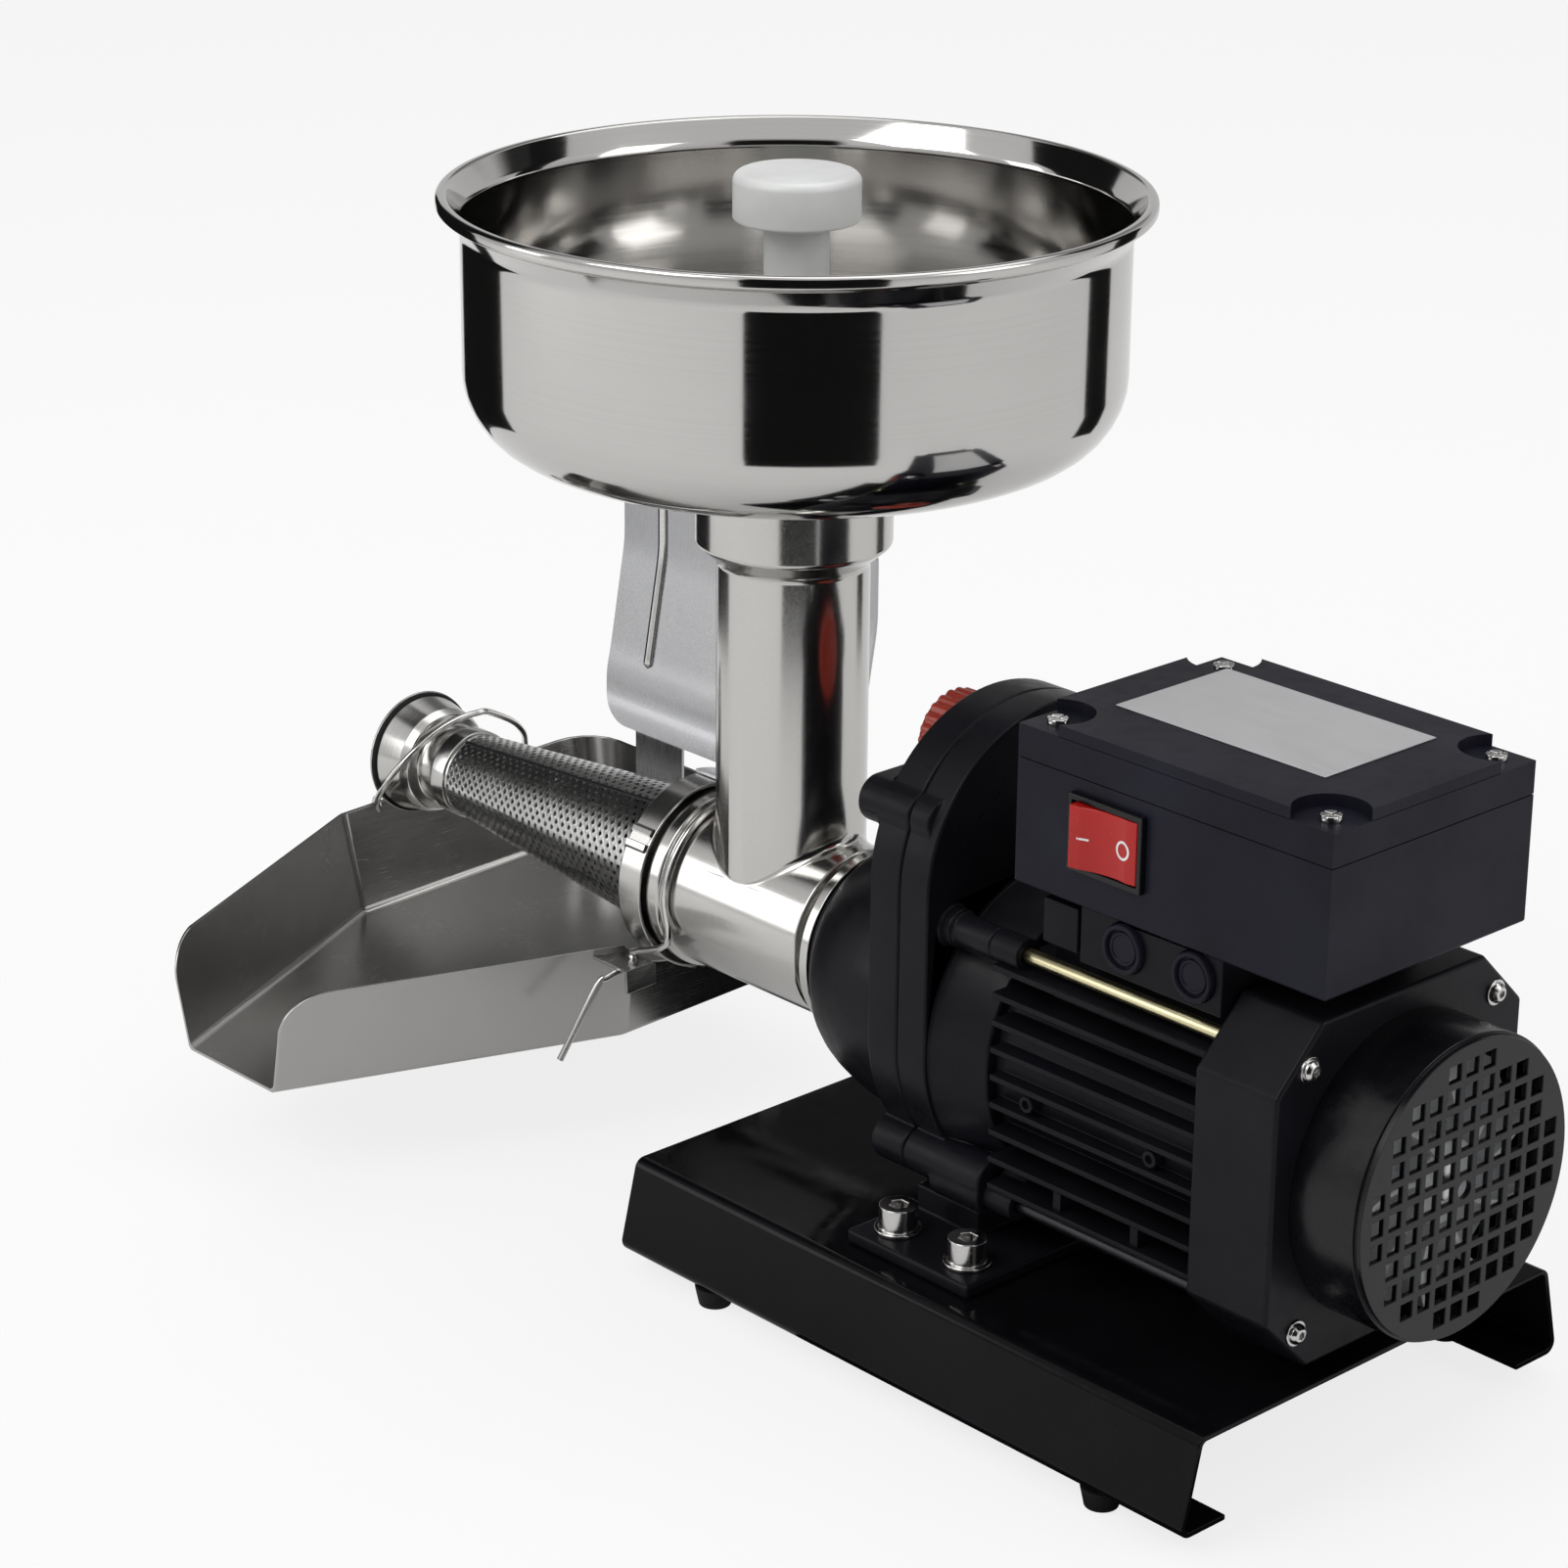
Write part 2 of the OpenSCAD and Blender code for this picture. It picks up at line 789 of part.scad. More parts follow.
module stator_core() {
    outer = frame_r - frame_wall - seat_gap;
    color([0.45, 0.45, 0.47]) difference() {
        rod_x(stator_x0, stator_x0 + stator_len, outer);
        rod_x(stator_x0 - cut, stator_x0 + stator_len + cut, stator_bore);
        for (i = [0:slot_count - 1])
            translate([stator_x0 - cut, 0, axis_z]) rotate([360 * i / slot_count, 0, 0])
            translate([0, -slot_w / 2, stator_bore - cut])
                cube([stator_len + 2 * cut, slot_w, slot_r - stator_bore + cut]);
    }
}

module stator_windings() {
    color([0.72, 0.35, 0.15]) for (x = [stator_x0 - coil_len, stator_x0 + stator_len]) difference() {
        rod_x(x, x + coil_len, coil_out);
        rod_x(x - cut, x + coil_len + cut, coil_in);
    }
}

module rotor_core() {
    x1 = stator_x0 + stator_len;
    color([0.6, 0.6, 0.62]) difference() {
        union() {
            rod_x(stator_x0, x1, rotor_r);
            rod_x(stator_x0 - end_ring_t, x1 + end_ring_t, end_ring_r);
        }
        rod_x(stator_x0 - end_ring_t - cut, x1 + end_ring_t + cut, shaft_r + seat_gap);
    }
}

module motor_shaft() {
    color([0.75, 0.75, 0.78]) {
        rod_x(shaft_x0, front_brg_x, pinion_bore - seat_gap);
        rod_x(front_brg_x, front_brg_x + brg_w, journal_r);
        rod_x(front_brg_x + brg_w, rear_brg_x, shaft_r);
        rod_x(rear_brg_x, shaft_x1, journal_r);
    }
}

module motor_pinion() {
    color([0.5, 0.5, 0.52]) gear(stage_x[0], pinion_teeth, pinion_bore, axis_z);
}

module front_bearing() {
    color([0.82, 0.82, 0.85]) bearing(front_brg_x, brg_w, brg_r, journal_r + run_gap);
}

module rear_bearing() {
    color([0.82, 0.82, 0.85]) bearing(rear_brg_x, brg_w, brg_r, journal_r + run_gap);
}

module end_bell() {
    color([0.06, 0.06, 0.07]) difference() {
        union() {
            plate_x(frame_x1, bell_x1) bell_outline(bell_half, bell_cut);
            rod_x(bell_x1, bell_x1 + spigot_len, spigot_r);
        }
        rod_x(frame_x1 - cut, bell_x1 - bell_wall, bell_cavity_r);
        rod_x(bell_x1 - bell_wall - cut, bell_x1 + spigot_len + cut, brg_r + bell_wall);
        for (p = tie_places) rod_x(frame_x1 - cut, bell_x1 + cut, bolt_r + free_gap, p[0], p[1]);
    }
    color([0.06, 0.06, 0.07]) difference() {
        union() {
            rod_x(rear_brg_x, rear_brg_x + brg_w, brg_r + bell_wall);
            block([rear_brg_x, -bell_cavity_r - cut, axis_z - bell_wall],
                [rear_brg_x + brg_w, bell_cavity_r + cut, axis_z + bell_wall]);
            block([rear_brg_x, -bell_wall, axis_z - bell_cavity_r - cut],
                [rear_brg_x + brg_w, bell_wall, axis_z + bell_cavity_r + cut]);
        }
        rod_x(rear_brg_x - cut, rear_brg_x + brg_w + cut, brg_r + run_gap);
    }
}

module tie_bolts() {
    color([0.78, 0.68, 0.35]) for (p = tie_places) {
        rod_x(case_x1 + rod_tip, bell_x1, bolt_r, p[0], p[1]);
        difference() {
            rod_x(bell_x1, bell_x1 + screw_head_h, screw_head_r, p[0], p[1]);
            block([bell_x1 + screw_head_h / 2, p[0] - screw_head_r, p[1] - bolt_r / 4],
                [bell_x1 + screw_head_h + cut, p[0] + screw_head_r, p[1] + bolt_r / 4]);
        }
    }
}

module cooling_fan() {
    color([0.55, 0.55, 0.56]) difference() {
        union() {
            rod_x(fan_x0, fan_x0 + fan_w, fan_hub_r);
            rod_x(fan_x0, fan_x0 + fan_plate_t, fan_r);
            for (i = [0:blade_count - 1])
                translate([fan_x0, 0, axis_z]) rotate([360 * i / blade_count, 0, 0])
                    block([fan_plate_t / 2, -blade_t / 2, fan_hub_r - cut],
                        [fan_w - web_in, blade_t / 2, fan_r - blade_in]);
        }
        rod_x(fan_x0 - cut, fan_x0 + fan_w + cut, journal_r + seat_gap);
    }
}

module fan_cover() {
    half = floor(grille_r / grille_pitch);
    color([0.08, 0.08, 0.09]) difference() {
        union() {
            rod_x(bell_x1, cover_x1 - cover_wall, cover_r);
            rod_x(cover_x1 - 2 * cover_wall, cover_x1, cover_r - cover_wall / 2);
        }
        rod_x(bell_x1 - cut, cover_x1 - cover_wall, cover_r - cover_wall);
        rod_x(cover_x1 - cover_wall - cut, cover_x1 + cut, hub_hole_r);
        for (i = [-half:half], k = [-half:half])
            if (norm([i, k]) * grille_pitch < grille_r && norm([i, k]) * grille_pitch > hub_r)
                translate([cover_x1 - cover_wall - cut, i * grille_pitch, axis_z + k * grille_pitch])
                    translate([0, -grille_hole / 2, -grille_hole / 2])
                        cube([cover_wall + 2 * cut, grille_hole, grille_hole]);
    }
}

module gear_housing() {
    color([0.06, 0.06, 0.07]) difference() {
        union() {
            plate_x(split_x, case_x1) case_outline(case_r);
            turned([[0, case_x1 - cut], [waist_root_r, case_x1 - cut], [waist_root_r, case_x1],
                [waist_r, frame_x0], [0, frame_x0]]);
            for (p = ear_places)
                rod_x(split_x, p[1] > axis_z ? case_x1 - ear_back : frame_x0, ear_r, p[0], p[1]);
            for (p = tie_places)
                rod_x(case_x1 - cut, frame_x0, p[1] > axis_z ? lug_r : ear_r, p[0], p[1]);
            for (p = tie_places) if (p[1] > axis_z)
                rod_x(case_x1 - cut, case_x1 + lug_head_len, lug_head_r, p[0], p[1]);
            for (p = tie_places) {
                a = atan2(p[1] - axis_z, p[0]);
                translate([case_x1, 0, axis_z]) rotate([a, 0, 0])
                    block([-cut, lug_root, -lug_web],
                        [waist_len - web_in, norm([p[0], p[1] - axis_z]), lug_web]);
            }
        }
        case_hollow(split_x - cut, case_x1 - floor_t);
        rod_x(case_x1 - floor_t - cut, front_brg_x, shaft_r + case_wall);
        rod_x(front_brg_x - run_gap, frame_x0 + cut, brg_r + run_gap);
        rod_x(case_x1 - floor_t - cut, case_x1 - floor_t + counter_brg_w / 2, counter_brg_r + run_gap,
            0, counter_z);
        for (p = ear_places)
            rod_x(split_x - cut, split_x + rear_flange / 2, case_screw_r + free_gap, p[0], p[1]);
        for (p = tie_places)
            rod_x(case_x1 + rod_tip - cut, frame_x0 + cut, bolt_r + free_gap, p[0], p[1]);
    }
}

// The domed outline of the nose, as points of radius and X
nose_points = [for (k = [0:nose_drops])
    let (a = 90 * k / nose_drops)
        [tip_r + (nose_r - tip_r) * cos(a), case_x0 - (nose_len - nose_lip) * sin(a)]];

module gear_cover() {
    front = case_x0 + cavity_front;
    color([0.06, 0.06, 0.07]) difference() {
        union() {
            plate_x(case_x0, split_x) case_outline(case_r);
            turned(concat([[0, case_x0 + cut], [nose_r, case_x0 + cut]], nose_points,
                [[tip_r - nose_drop, case_x0 - nose_len + nose_lip], [tip_r - nose_drop, tip_x],
                    [0, tip_x]]));
            for (p = ear_places) rod_x(ear_front(p), split_x, ear_r, p[0], p[1]);
            for (s = [0, 1]) mirror([0, s, 0]) block([case_x0 - ear_over, -bolt_off, upper_ear_z - ear_r],
                [case_x0 + cut, -bolt_off + ear_shelf, upper_ear_z + ear_r]);
            rod_x(case_x0 - knob_boss_len, case_x0 + cut, knob_boss_r, knob_y, knob_z);
            rod_x(case_x0 - case_wall, case_x0 + cut, counter_brg_r + case_wall, 0, counter_z);
        }
        case_hollow(front, split_x + cut);
        rod_x(case_x0 - counter_end - run_gap, front + cut, counter_brg_r + run_gap, 0, counter_z);
        rod_x(brg_x0 + 2 * out_brg_w + out_brg_space - run_gap, front + cut, out_brg_r + out_relief);
        rod_x(brg_x0 - run_gap, front + cut, out_brg_r + run_gap);
        rod_x(tip_x - cut, brg_x0 + cut, nose_bore);
        rod_x(tip_x - cut, tip_x + socket_len, bore_r);
        for (p = ear_places) {
            rod_x(ear_front(p) - cut, split_x + cut, case_screw_r + free_gap, p[0], p[1]);
            rod_x(ear_front(p) - cut, ear_front(p) + case_head_h + free_gap, case_head_r + free_gap,
                p[0], p[1]);
        }
        rod_x(case_x0 - knob_boss_len - cut, case_x0 - knob_boss_len + stud_depth, stud_r + run_gap,
            knob_y, knob_z);
    }
}

module case_screws() {
    color([0.2, 0.2, 0.21]) for (p = ear_places) {
        x0 = ear_front(p) + case_head_h + free_gap;
        rod_x(x0, split_x + rear_flange / 2 - screw_play, case_screw_r, p[0], p[1]);
        difference() {
            rod_x(x0 - case_head_h, x0, case_head_r, p[0], p[1]);
            translate([x0 - case_head_h - cut, p[0], p[1]]) rotate([0, 90, 0])
                cylinder(r = case_screw_r - seat_gap, h = case_head_h / 2 + cut, $fn = 6);
        }
    }
}

module counter_shaft() {
    color([0.75, 0.75, 0.78])
        rod_x(case_x0 - counter_end, case_x1 - floor_t + counter_brg_w / 2 - seat_gap, counter_r,
            0, counter_z);
}

module counter_gear() {
    color([0.5, 0.5, 0.52]) gear(stage_x[0], gear_teeth, counter_r + seat_gap, counter_z);
}

module counter_pinion() {
    color([0.5, 0.5, 0.52]) gear(stage_x[1], pinion_teeth, counter_r + seat_gap, counter_z);
}

module counter_bearings() {
    color([0.82, 0.82, 0.85]) {
        bearing(case_x0 - counter_end, cavity_front + counter_end, counter_brg_r, counter_r + run_gap,
            counter_z);
        bearing(case_x1 - floor_t, counter_brg_w / 2, counter_brg_r, counter_r + run_gap, counter_z);
    }
}

module output_gear() {
    color([0.5, 0.5, 0.52]) gear(stage_x[1], gear_teeth, out_r + seat_gap, axis_z);
}

module output_shaft() {
    color([0.75, 0.75, 0.78]) {
        rod_x(tip_x - rear_wall, out_x1 + gear_face, out_r);
        block([tip_x - rear_wall - drive_len, -drive_half, axis_z - drive_half],
            [tip_x - rear_wall + cut, drive_half, axis_z + drive_half]);
    }
}

module output_bearings() {
    color([0.82, 0.82, 0.85]) for (k = [0, 1])
        bearing(brg_x0 + k * (out_brg_w + out_brg_space), out_brg_w, out_brg_r, out_r + run_gap);
}

module lock_knob() {
    x1 = case_x0 - knob_boss_len - knob_back;
    color([0.45, 0.05, 0.04]) difference() {
        union() {
            rod_x(x1 - knob_t, x1, knob_r, knob_y, knob_z);
            rod_x(x1, x1 + knob_back - free_gap, cap_r, knob_y, knob_z);
        }
        for (i = [0:knob_teeth - 1]) {
            a = 360 * i / knob_teeth;
            rod_x(x1 - knob_t - cut, x1 + cut, knob_groove_r, knob_y + knob_r * cos(a),
                knob_z + knob_r * sin(a));
        }
    }
    color([0.7, 0.7, 0.72]) rod_x(x1, x1 + knob_back + stud_depth - free_gap, stud_r, knob_y, knob_z);
}

module press_body() {
    inner = tube_r - tube_wall;
    color([0.82, 0.81, 0.79]) difference() {
        union() {
            turned([[0, barrel_x0], [end_flange_r, barrel_x0], [end_flange_r, barrel_x0 + end_flange_t],
                [barrel_r, barrel_x0 + end_flange_t], [barrel_r, tip_x - band_t - neck_t],
                [neck_r, tip_x - band_t - neck_t + neck_chamfer], [neck_r, tip_x - band_t],
                [band_r, tip_x - band_t], [band_r, tip_x], [plug_r, tip_x], [plug_r, tip_x + plug_len],
                [0, tip_x + plug_len]]);
            translate([tube_x, 0, axis_z]) cylinder(r = tube_r, h = cup_rise);
            translate([tube_x, 0, cup_z - cup_taper]) cylinder(r1 = tube_r, r2 = cup_r, h = cup_taper);
            translate([tube_x, 0, cup_z]) cylinder(r = cup_r, h = cup_h);
        }
        rod_x(barrel_x0 - cut, tip_x - rear_wall, barrel_bore);
        rod_x(tip_x - rear_wall - cut, tip_x + plug_len + cut, plug_bore);
        translate([tube_x, 0, axis_z]) cylinder(r = inner, h = cup_rise + cup_wall + cut);
        translate([tube_x, 0, cup_z + cup_wall]) cylinder(r = cup_r - cup_wall, h = cup_h);
    }
}

module shaft_bush() {
    color([0.9, 0.9, 0.86])
        bearing(tip_x - rear_wall + seat_gap, rear_wall + plug_len - 2 * seat_gap, bush_r, out_r + run_gap);
}

module auger() {
    reach = barrel_bore - flight_gap;
    color([0.78, 0.78, 0.8]) difference() {
        union() {
            rod_x(auger_front, auger_back, auger_core);
            flight(auger_back - flight_inset, auger_back - flight_inset - auger_front, reach, reach,
                flight_pitch, flight_t);
        }
        block([auger_back - drive_len, -drive_half - seat_gap, axis_z - drive_half - seat_gap],
            [auger_back + cut, drive_half + seat_gap, axis_z + drive_half + seat_gap]);
        rod_x(auger_front - cut, auger_front + drive_len, pin_r + seat_gap);
    }
}

module strainer_screw() {
    x0 = auger_front - free_gap;
    length = x0 - cone_x1 - collar_len;
    big = cone_big - cone_wall - screw_gap - (cone_big - cone_small) * (cone_x0 - x0) / cone_len;
    small = cone_small - cone_wall - screw_gap;
    color([0.9, 0.9, 0.88]) {
        translate([x0, 0, axis_z]) rotate([0, -90, 0])
            cylinder(r1 = screw_core_big, r2 = screw_core_small, h = length);
        flight(x0, length, big, small, flight_pitch, screw_flight_t);
        rod_x(x0 - cut, auger_front + drive_len - free_gap, pin_r);
    }
}

module strainer() {
    flange_x = barrel_x0 - seat_gap;
    color([0.75, 0.75, 0.76]) turned([
        [cone_big - cone_wall, flange_x], [end_flange_r - free_gap, flange_x],
        [end_flange_r - free_gap, flange_x - strainer_flange_t], [cone_big, flange_x - strainer_flange_t],
        [cone_big, cone_x0], [cone_small, cone_x1], [cone_small - cone_wall, cone_x1],
        [cone_big - cone_wall, cone_x0]]);
}

module strainer_ring() {
    x0 = ring_x0;
    inner = end_flange_r + seat_gap;
    color([0.7, 0.7, 0.7]) turned([
        [cone_big + ring_clear, x0], [ring_r - ring_chamfer, x0], [ring_r, x0 + ring_chamfer],
        [ring_r, x0 + ring_len],
        [inner, x0 + ring_len], [inner, x0 + ring_lip], [cone_big + ring_clear, x0 + ring_lip]]);
}

module waste_nozzle() {
    x0 = cone_x1 + collar_len - seat_gap;
    x1 = cone_x1 - seat_gap;
    x2 = cone_x1 - nozzle_len;
    outer = cone_small + collar_over;
    neck = x1 - nozzle_neck;
    wide = flare_r * cup_wide_share;
    cup_out = [for (k = [0:2]) [flare_r * cup_fall_shares[k], neck - shoulder_steps[k]]];
    cup_in = [for (k = [2:-1:0])
        [flare_r * cup_fall_shares[k] - flare_t, neck - shoulder_steps[k] - flare_t]];
    color([0.8, 0.8, 0.8]) turned(concat(
        [[cone_small + seat_gap + (cone_big - cone_small) * collar_len / cone_len, x0],
            [outer, x0], [outer, x1 - nozzle_step], [throat_r + neck_wall, x1 - nozzle_taper],
            [throat_r + neck_wall, neck]], cup_out,
        [[wide, x2 + lip_root], [flare_r * lip_turn_share, x2 + lip_turn], [flare_r, x2 + lip_t],
            [flare_r, x2], [flare_r - flare_t, x2], [flare_r * lip_turn_share - flare_t, x2 + lip_t],
            [wide - flare_t, x2 + lip_root - flare_t]], cup_in,
        [[throat_r, neck - flare_t], [throat_r, x1], [cone_small + seat_gap, x1]]));
}

// The plan of the chute floor, spread by a distance on every side but the spout, with round rear corners
function chute_plan(grow) =
    let (slant = atan((chute_wid - spout_wid) / 2 / (spout_y - fold_y)),
        fold = fold_y + grow * tan(slant / 2), side = chute_wid / 2 + grow,
        spout = spout_wid / 2 + grow / cos(slant), rear = rear_y + grow / 2,
        round_r = rear_round + grow / 2)
    concat([for (k = [0:rear_steps]) let (a = 90 + 90 * k / rear_steps)
            [-side + round_r + round_r * cos(a), rear - round_r + round_r * sin(a)]],
        [[-side, -fold], [-spout, -spout_y], [spout, -spout_y], [side, -fold]],
        [for (k = [0:rear_steps]) let (a = 90 * k / rear_steps)
            [side - round_r + round_r * cos(a), rear - round_r + round_r * sin(a)]]);

// A chute-shaped solid between the floor plan and the top plan
module chute_solid(shrink, low, high) {
    share = low / chute_h;
    hull() {
        translate([0, 0, low]) linear_extrude(height = floor_eps)
            polygon(chute_plan(chute_lean * share - shrink));
        translate([0, 0, high - floor_eps]) linear_extrude(height = floor_eps)
            polygon(chute_plan(chute_lean * high / chute_h - shrink));
    }
}

// Places the chute, tilted down towards its spout
module chute_frame() {
    translate([chute_x, -fold_y, chute_z]) rotate([chute_tilt, 0, 0]) translate([0, fold_y, 0]) children();
}

// The side outline of the chute, with the top corner at the spout rounded
module chute_side() {
    end = -spout_y + chute_t;
    square_top = chute_h + cut;
    translate([end, -cut]) square([rear_y + chute_lean + cut - end, chute_h - spout_round + cut]);
    translate([end + spout_round, -cut])
        square([rear_y + chute_lean + cut - end - spout_round, square_top + cut]);
    translate([end + spout_round, chute_h - spout_round]) circle(r = spout_round);
}

module chute() {
    edge_x = chute_wid / 2 + chute_lean;
    color([0.68, 0.67, 0.65]) difference() {
        chute_frame() {
            difference() {
                union() {
                    intersection() {
                        chute_solid(0, 0, chute_h);
                        translate([-edge_x - cut, 0, 0]) rotate([90, 0, 90])
                            linear_extrude(height = 2 * (edge_x + cut)) chute_side();
                    }
                    for (y = [-tab_y, tab_y]) translate([edge_x, y - tab_w / 2, chute_h - tab_drop]) {
                        translate([-tab_in, 0, 0]) cube([tab_in + tab_out, tab_w, chute_t]);
                        translate([tab_out - chute_t, 0, -tab_h]) cube([chute_t, tab_w, tab_h + chute_t]);
                    }
                }
                chute_solid(chute_t, chute_t, chute_h + cut);
                block([-edge_x, -spout_y - cut, chute_t], [edge_x, -spout_y + chute_t, chute_h + cut]);
            }
        }
        for (y = [-tab_y, tab_y])
            translate([tab_x, y, chute_z]) cylinder(r = wire_r + free_gap, h = chute_h + cut);
        rod_x(chute_x, bail_x, ring_r + notch_gap);
    }
}

// A smooth wire of eight sides along a line of points
function unit(v) = v / norm(v);
module swept_wire(p, r) {
    n = len(p);
    sides = 8;
    rings = [for (i = [0:n - 1]) let (
        t = unit(p[min(i + 1, n - 1)] - p[max(i - 1, 0)]),
        u = unit([1, 0, 0] - t * t[0]), v = cross(t, u))
        for (k = [0:sides - 1]) p[i] + r * (cos(360 * k / sides) * u + sin(360 * k / sides) * v)];
    ends = [[for (k = [0:sides - 1]) k], [for (k = [sides - 1:-1:0]) (n - 1) * sides + k]];
    walls = [for (i = [0:n - 2], k = [0:sides - 1]) let (
        a = i * sides + k, b = i * sides + (k + 1) % sides, c = b + sides, d = a + sides)
        each [[a, d, c], [a, c, b]]];
    polyhedron(points = rings, faces = concat(ends, walls));
}

// Height of the chute's wall top at a distance across the axis
function wall_top(y) = chute_z + chute_h + (y + fold_y) * sin(chute_tilt);

module wire_bails() {
    near = [for (k = [0:bail_steps]) let (a = 180 - 180 * k / bail_steps)
        [bail_x, bail_r * cos(a), axis_z + bail_r * sin(a)]];
    tab_top = wall_top(-tab_y) - tab_drop + tab_rise;
    under = tab_top - tail_drop;
    far_top = wall_top(tab_y) - tab_drop + tab_rise;
    a0 = 180 - asin((arch_z0 - arch_z) / arch_r);
    a1 = asin((arch_z1 - arch_z) / arch_r);
    far = [for (k = [0:bail_steps]) let (a = a0 + (a1 - a0) * k / bail_steps)
        [arch_x - (arch_x - wall_top_x) * pow(1 - sin(a), 2),
            arch_y + arch_r * cos(a) + (a > 90 ? arch_pull * pow(1 - sin(a), 3) : 0),
            arch_z + arch_r * sin(a)]];
    out_x = wall_top_x - wire_r - free_gap;
    over = wire_r + free_gap;
    color([0.72, 0.72, 0.72]) {
        swept_wire(concat([[tail_x, tail_y, tail_z], [tab_x, -tab_y, under], [tab_x, -tab_y, tab_top],
            [bail_x, -side_y, side_z]], near, [[bail_x, side_y, side_z], [tab_x, tab_y, far_top],
            [tab_x, tab_y, far_top - tail_drop]]), wire_r);
        swept_wire(concat([[out_x, hook_y0, wall_top(hook_y0) - hook_drop],
            [out_x, hook_y0, wall_top(hook_y0) + over]], far, [[out_x, hook_y1, wall_top(hook_y1) + over],
            [out_x, hook_y1, wall_top(hook_y1) - hook_drop]]), wire_r);
    }
}

// The splash guard's side section, as an open line from its clip to its top
guard_line = concat(
    [for (k = [0:6]) let (a = clip_angle_to + (clip_angle_from - clip_angle_to) * k / 6,
        r = ring_r + free_gap + guard_t / 2)
        [r * cos(a), axis_z + r * sin(a)]],
    [[guard_y0, guard_z0], [guard_y1, guard_bend_z], [guard_y1, guard_top_z]]);

// The line of a stiffening rib, which follows the sheet over its bend
rib_low_y = guard_y0 + (guard_y1 - guard_y0) * (rib_z0 - guard_z0) / (guard_bend_z - guard_z0);
rib_line = [[rib_low_y, rib_z0], [guard_y1, guard_bend_z], [guard_y1, rib_z1]];

// A sheet strip along a line of points in the YZ plane
module strip(line, x0, x1, t) {
    plate_x(x0, x1) for (i = [0:len(line) - 2]) {
        run = line[i + 1] - line[i];
        translate(line[i]) rotate(atan2(run[1], run[0])) translate([0, -t / 2]) square([norm(run), t]);
        if (i > 0) translate(line[i]) circle(r = t / 2, $fn = 16);
    }
}

// The front outline of the guard's wide sheet, round at its four corners
module guard_outline(x0, x1) {
    tall = guard_top_z - guard_z0;
    translate([x0, guard_z0 + guard_corner]) square([x1 - x0, tall - 2 * guard_corner]);
    translate([x0 + guard_corner, guard_z0]) square([x1 - x0 - 2 * guard_corner, tall]);
    for (x = [x0 + guard_corner, x1 - guard_corner],
        z = [guard_z0 + guard_corner, guard_top_z - guard_corner])
        translate([x, z]) circle(r = guard_corner);
}

module splash_guard() {
    n = len(guard_line);
    wide = [for (i = [n - 3:n - 1]) guard_line[i]];
    narrow = [for (i = [0:n - 3]) guard_line[i]];
    x0 = guard_x - guard_wid / 2;
    x1 = guard_x + guard_wid / 2;
    color([0.62, 0.62, 0.63]) {
        intersection() {
            strip(wide, x0, x1, guard_t);
            translate([0, guard_y1 + guard_corner, 0]) rotate([90, 0, 0])
                linear_extrude(height = 4 * guard_corner) guard_outline(x0, x1);
        }
        strip(narrow, ring_x0 + ring_len - guard_neck, ring_x0 + ring_len, guard_t);
        for (x = [guard_x - rib_off, guard_x + rib_off])
            strip(rib_line, x - rib_w / 2, x + rib_w / 2, guard_t + 2 * rib_h);
    }
}

module hopper() {
    outer = [for (k = [0:6]) let (a = 90 * k / 6)
        [bowl_r - bowl_corner + bowl_corner * sin(a), bowl_z + bowl_corner - bowl_corner * cos(a)]];
    inner = [for (k = [6:-1:0]) let (a = 90 * k / 6, r = bowl_corner - hopper_t)
        [bowl_r - bowl_corner + r * sin(a), bowl_z + bowl_corner - r * cos(a)]];
    top = bowl_z + bowl_h;
    color([0.8, 0.79, 0.77]) translate([tube_x, 0, 0]) rotate_extrude() polygon(concat(
        [[well_r, neck_z], [spout_in, neck_z], [spout_in, bowl_z]], outer,
        [[bowl_r, top - 2 * roll_r - rim_slope], [rim_r - roll_r, top - 2 * roll_r], [rim_r, top - roll_r],
            [rim_r - roll_r, top], [bowl_r - hopper_t, top - rim_dish - hopper_t]], inner,
        [[well_r, bowl_z + hopper_t]]));
}

module pusher() {
    z1 = pusher_z + pusher_len;
    color([0.93, 0.93, 0.91]) translate([tube_x, 0, 0]) rotate_extrude() polygon([
        [0, pusher_z], [plunger_r - plunger_chamfer, pusher_z], [plunger_r, pusher_z + plunger_chamfer],
        [plunger_r, pusher_z + plunger_h], [stem_r, pusher_z + plunger_h + stem_slope],
        [stem_r, z1 - head_h - stem_slope], [head_r - head_edge, z1 - head_h],
        [head_r, z1 - head_h + head_edge],
        [head_r, z1 - head_round], [head_r - head_edge, z1 - head_edge], [head_r - head_round, z1],
        [0, z1]]);
}

module terminal_box() {
    half = box_wid / 2;
    color([0.12, 0.12, 0.14]) difference() {
        union() {
            difference() {
                block([box_x0, -half, box_z0], [box_x1, half, lid_z - gasket_t]);
                block([box_x0 + box_wall, -half + box_wall, box_z0 + box_wall],
                    [box_x1 - box_wall, half - box_wall, lid_z + cut]);
            }
            for (p = lid_places)
                translate([p[0], p[1], lid_z - gasket_t - post_h]) cylinder(r = post_r, h = post_h);
        }
        for (p = lid_places)
            translate([p[0], p[1], lid_z - post_h / 2]) cylinder(r = lid_screw_r + free_gap, h = post_h);
        translate([switch_x, -half, switch_z])
            block([-well_w / 2 - free_gap, -cut, -well_h / 2 - free_gap],
                [well_w / 2 + free_gap, box_wall + cut, well_h / 2 + free_gap]);
        translate([gland_x, pad_half - gland_len + riser_in, box_z0 - cut])
            cylinder(r = riser_r, h = box_wall + 2 * cut);
    }
}

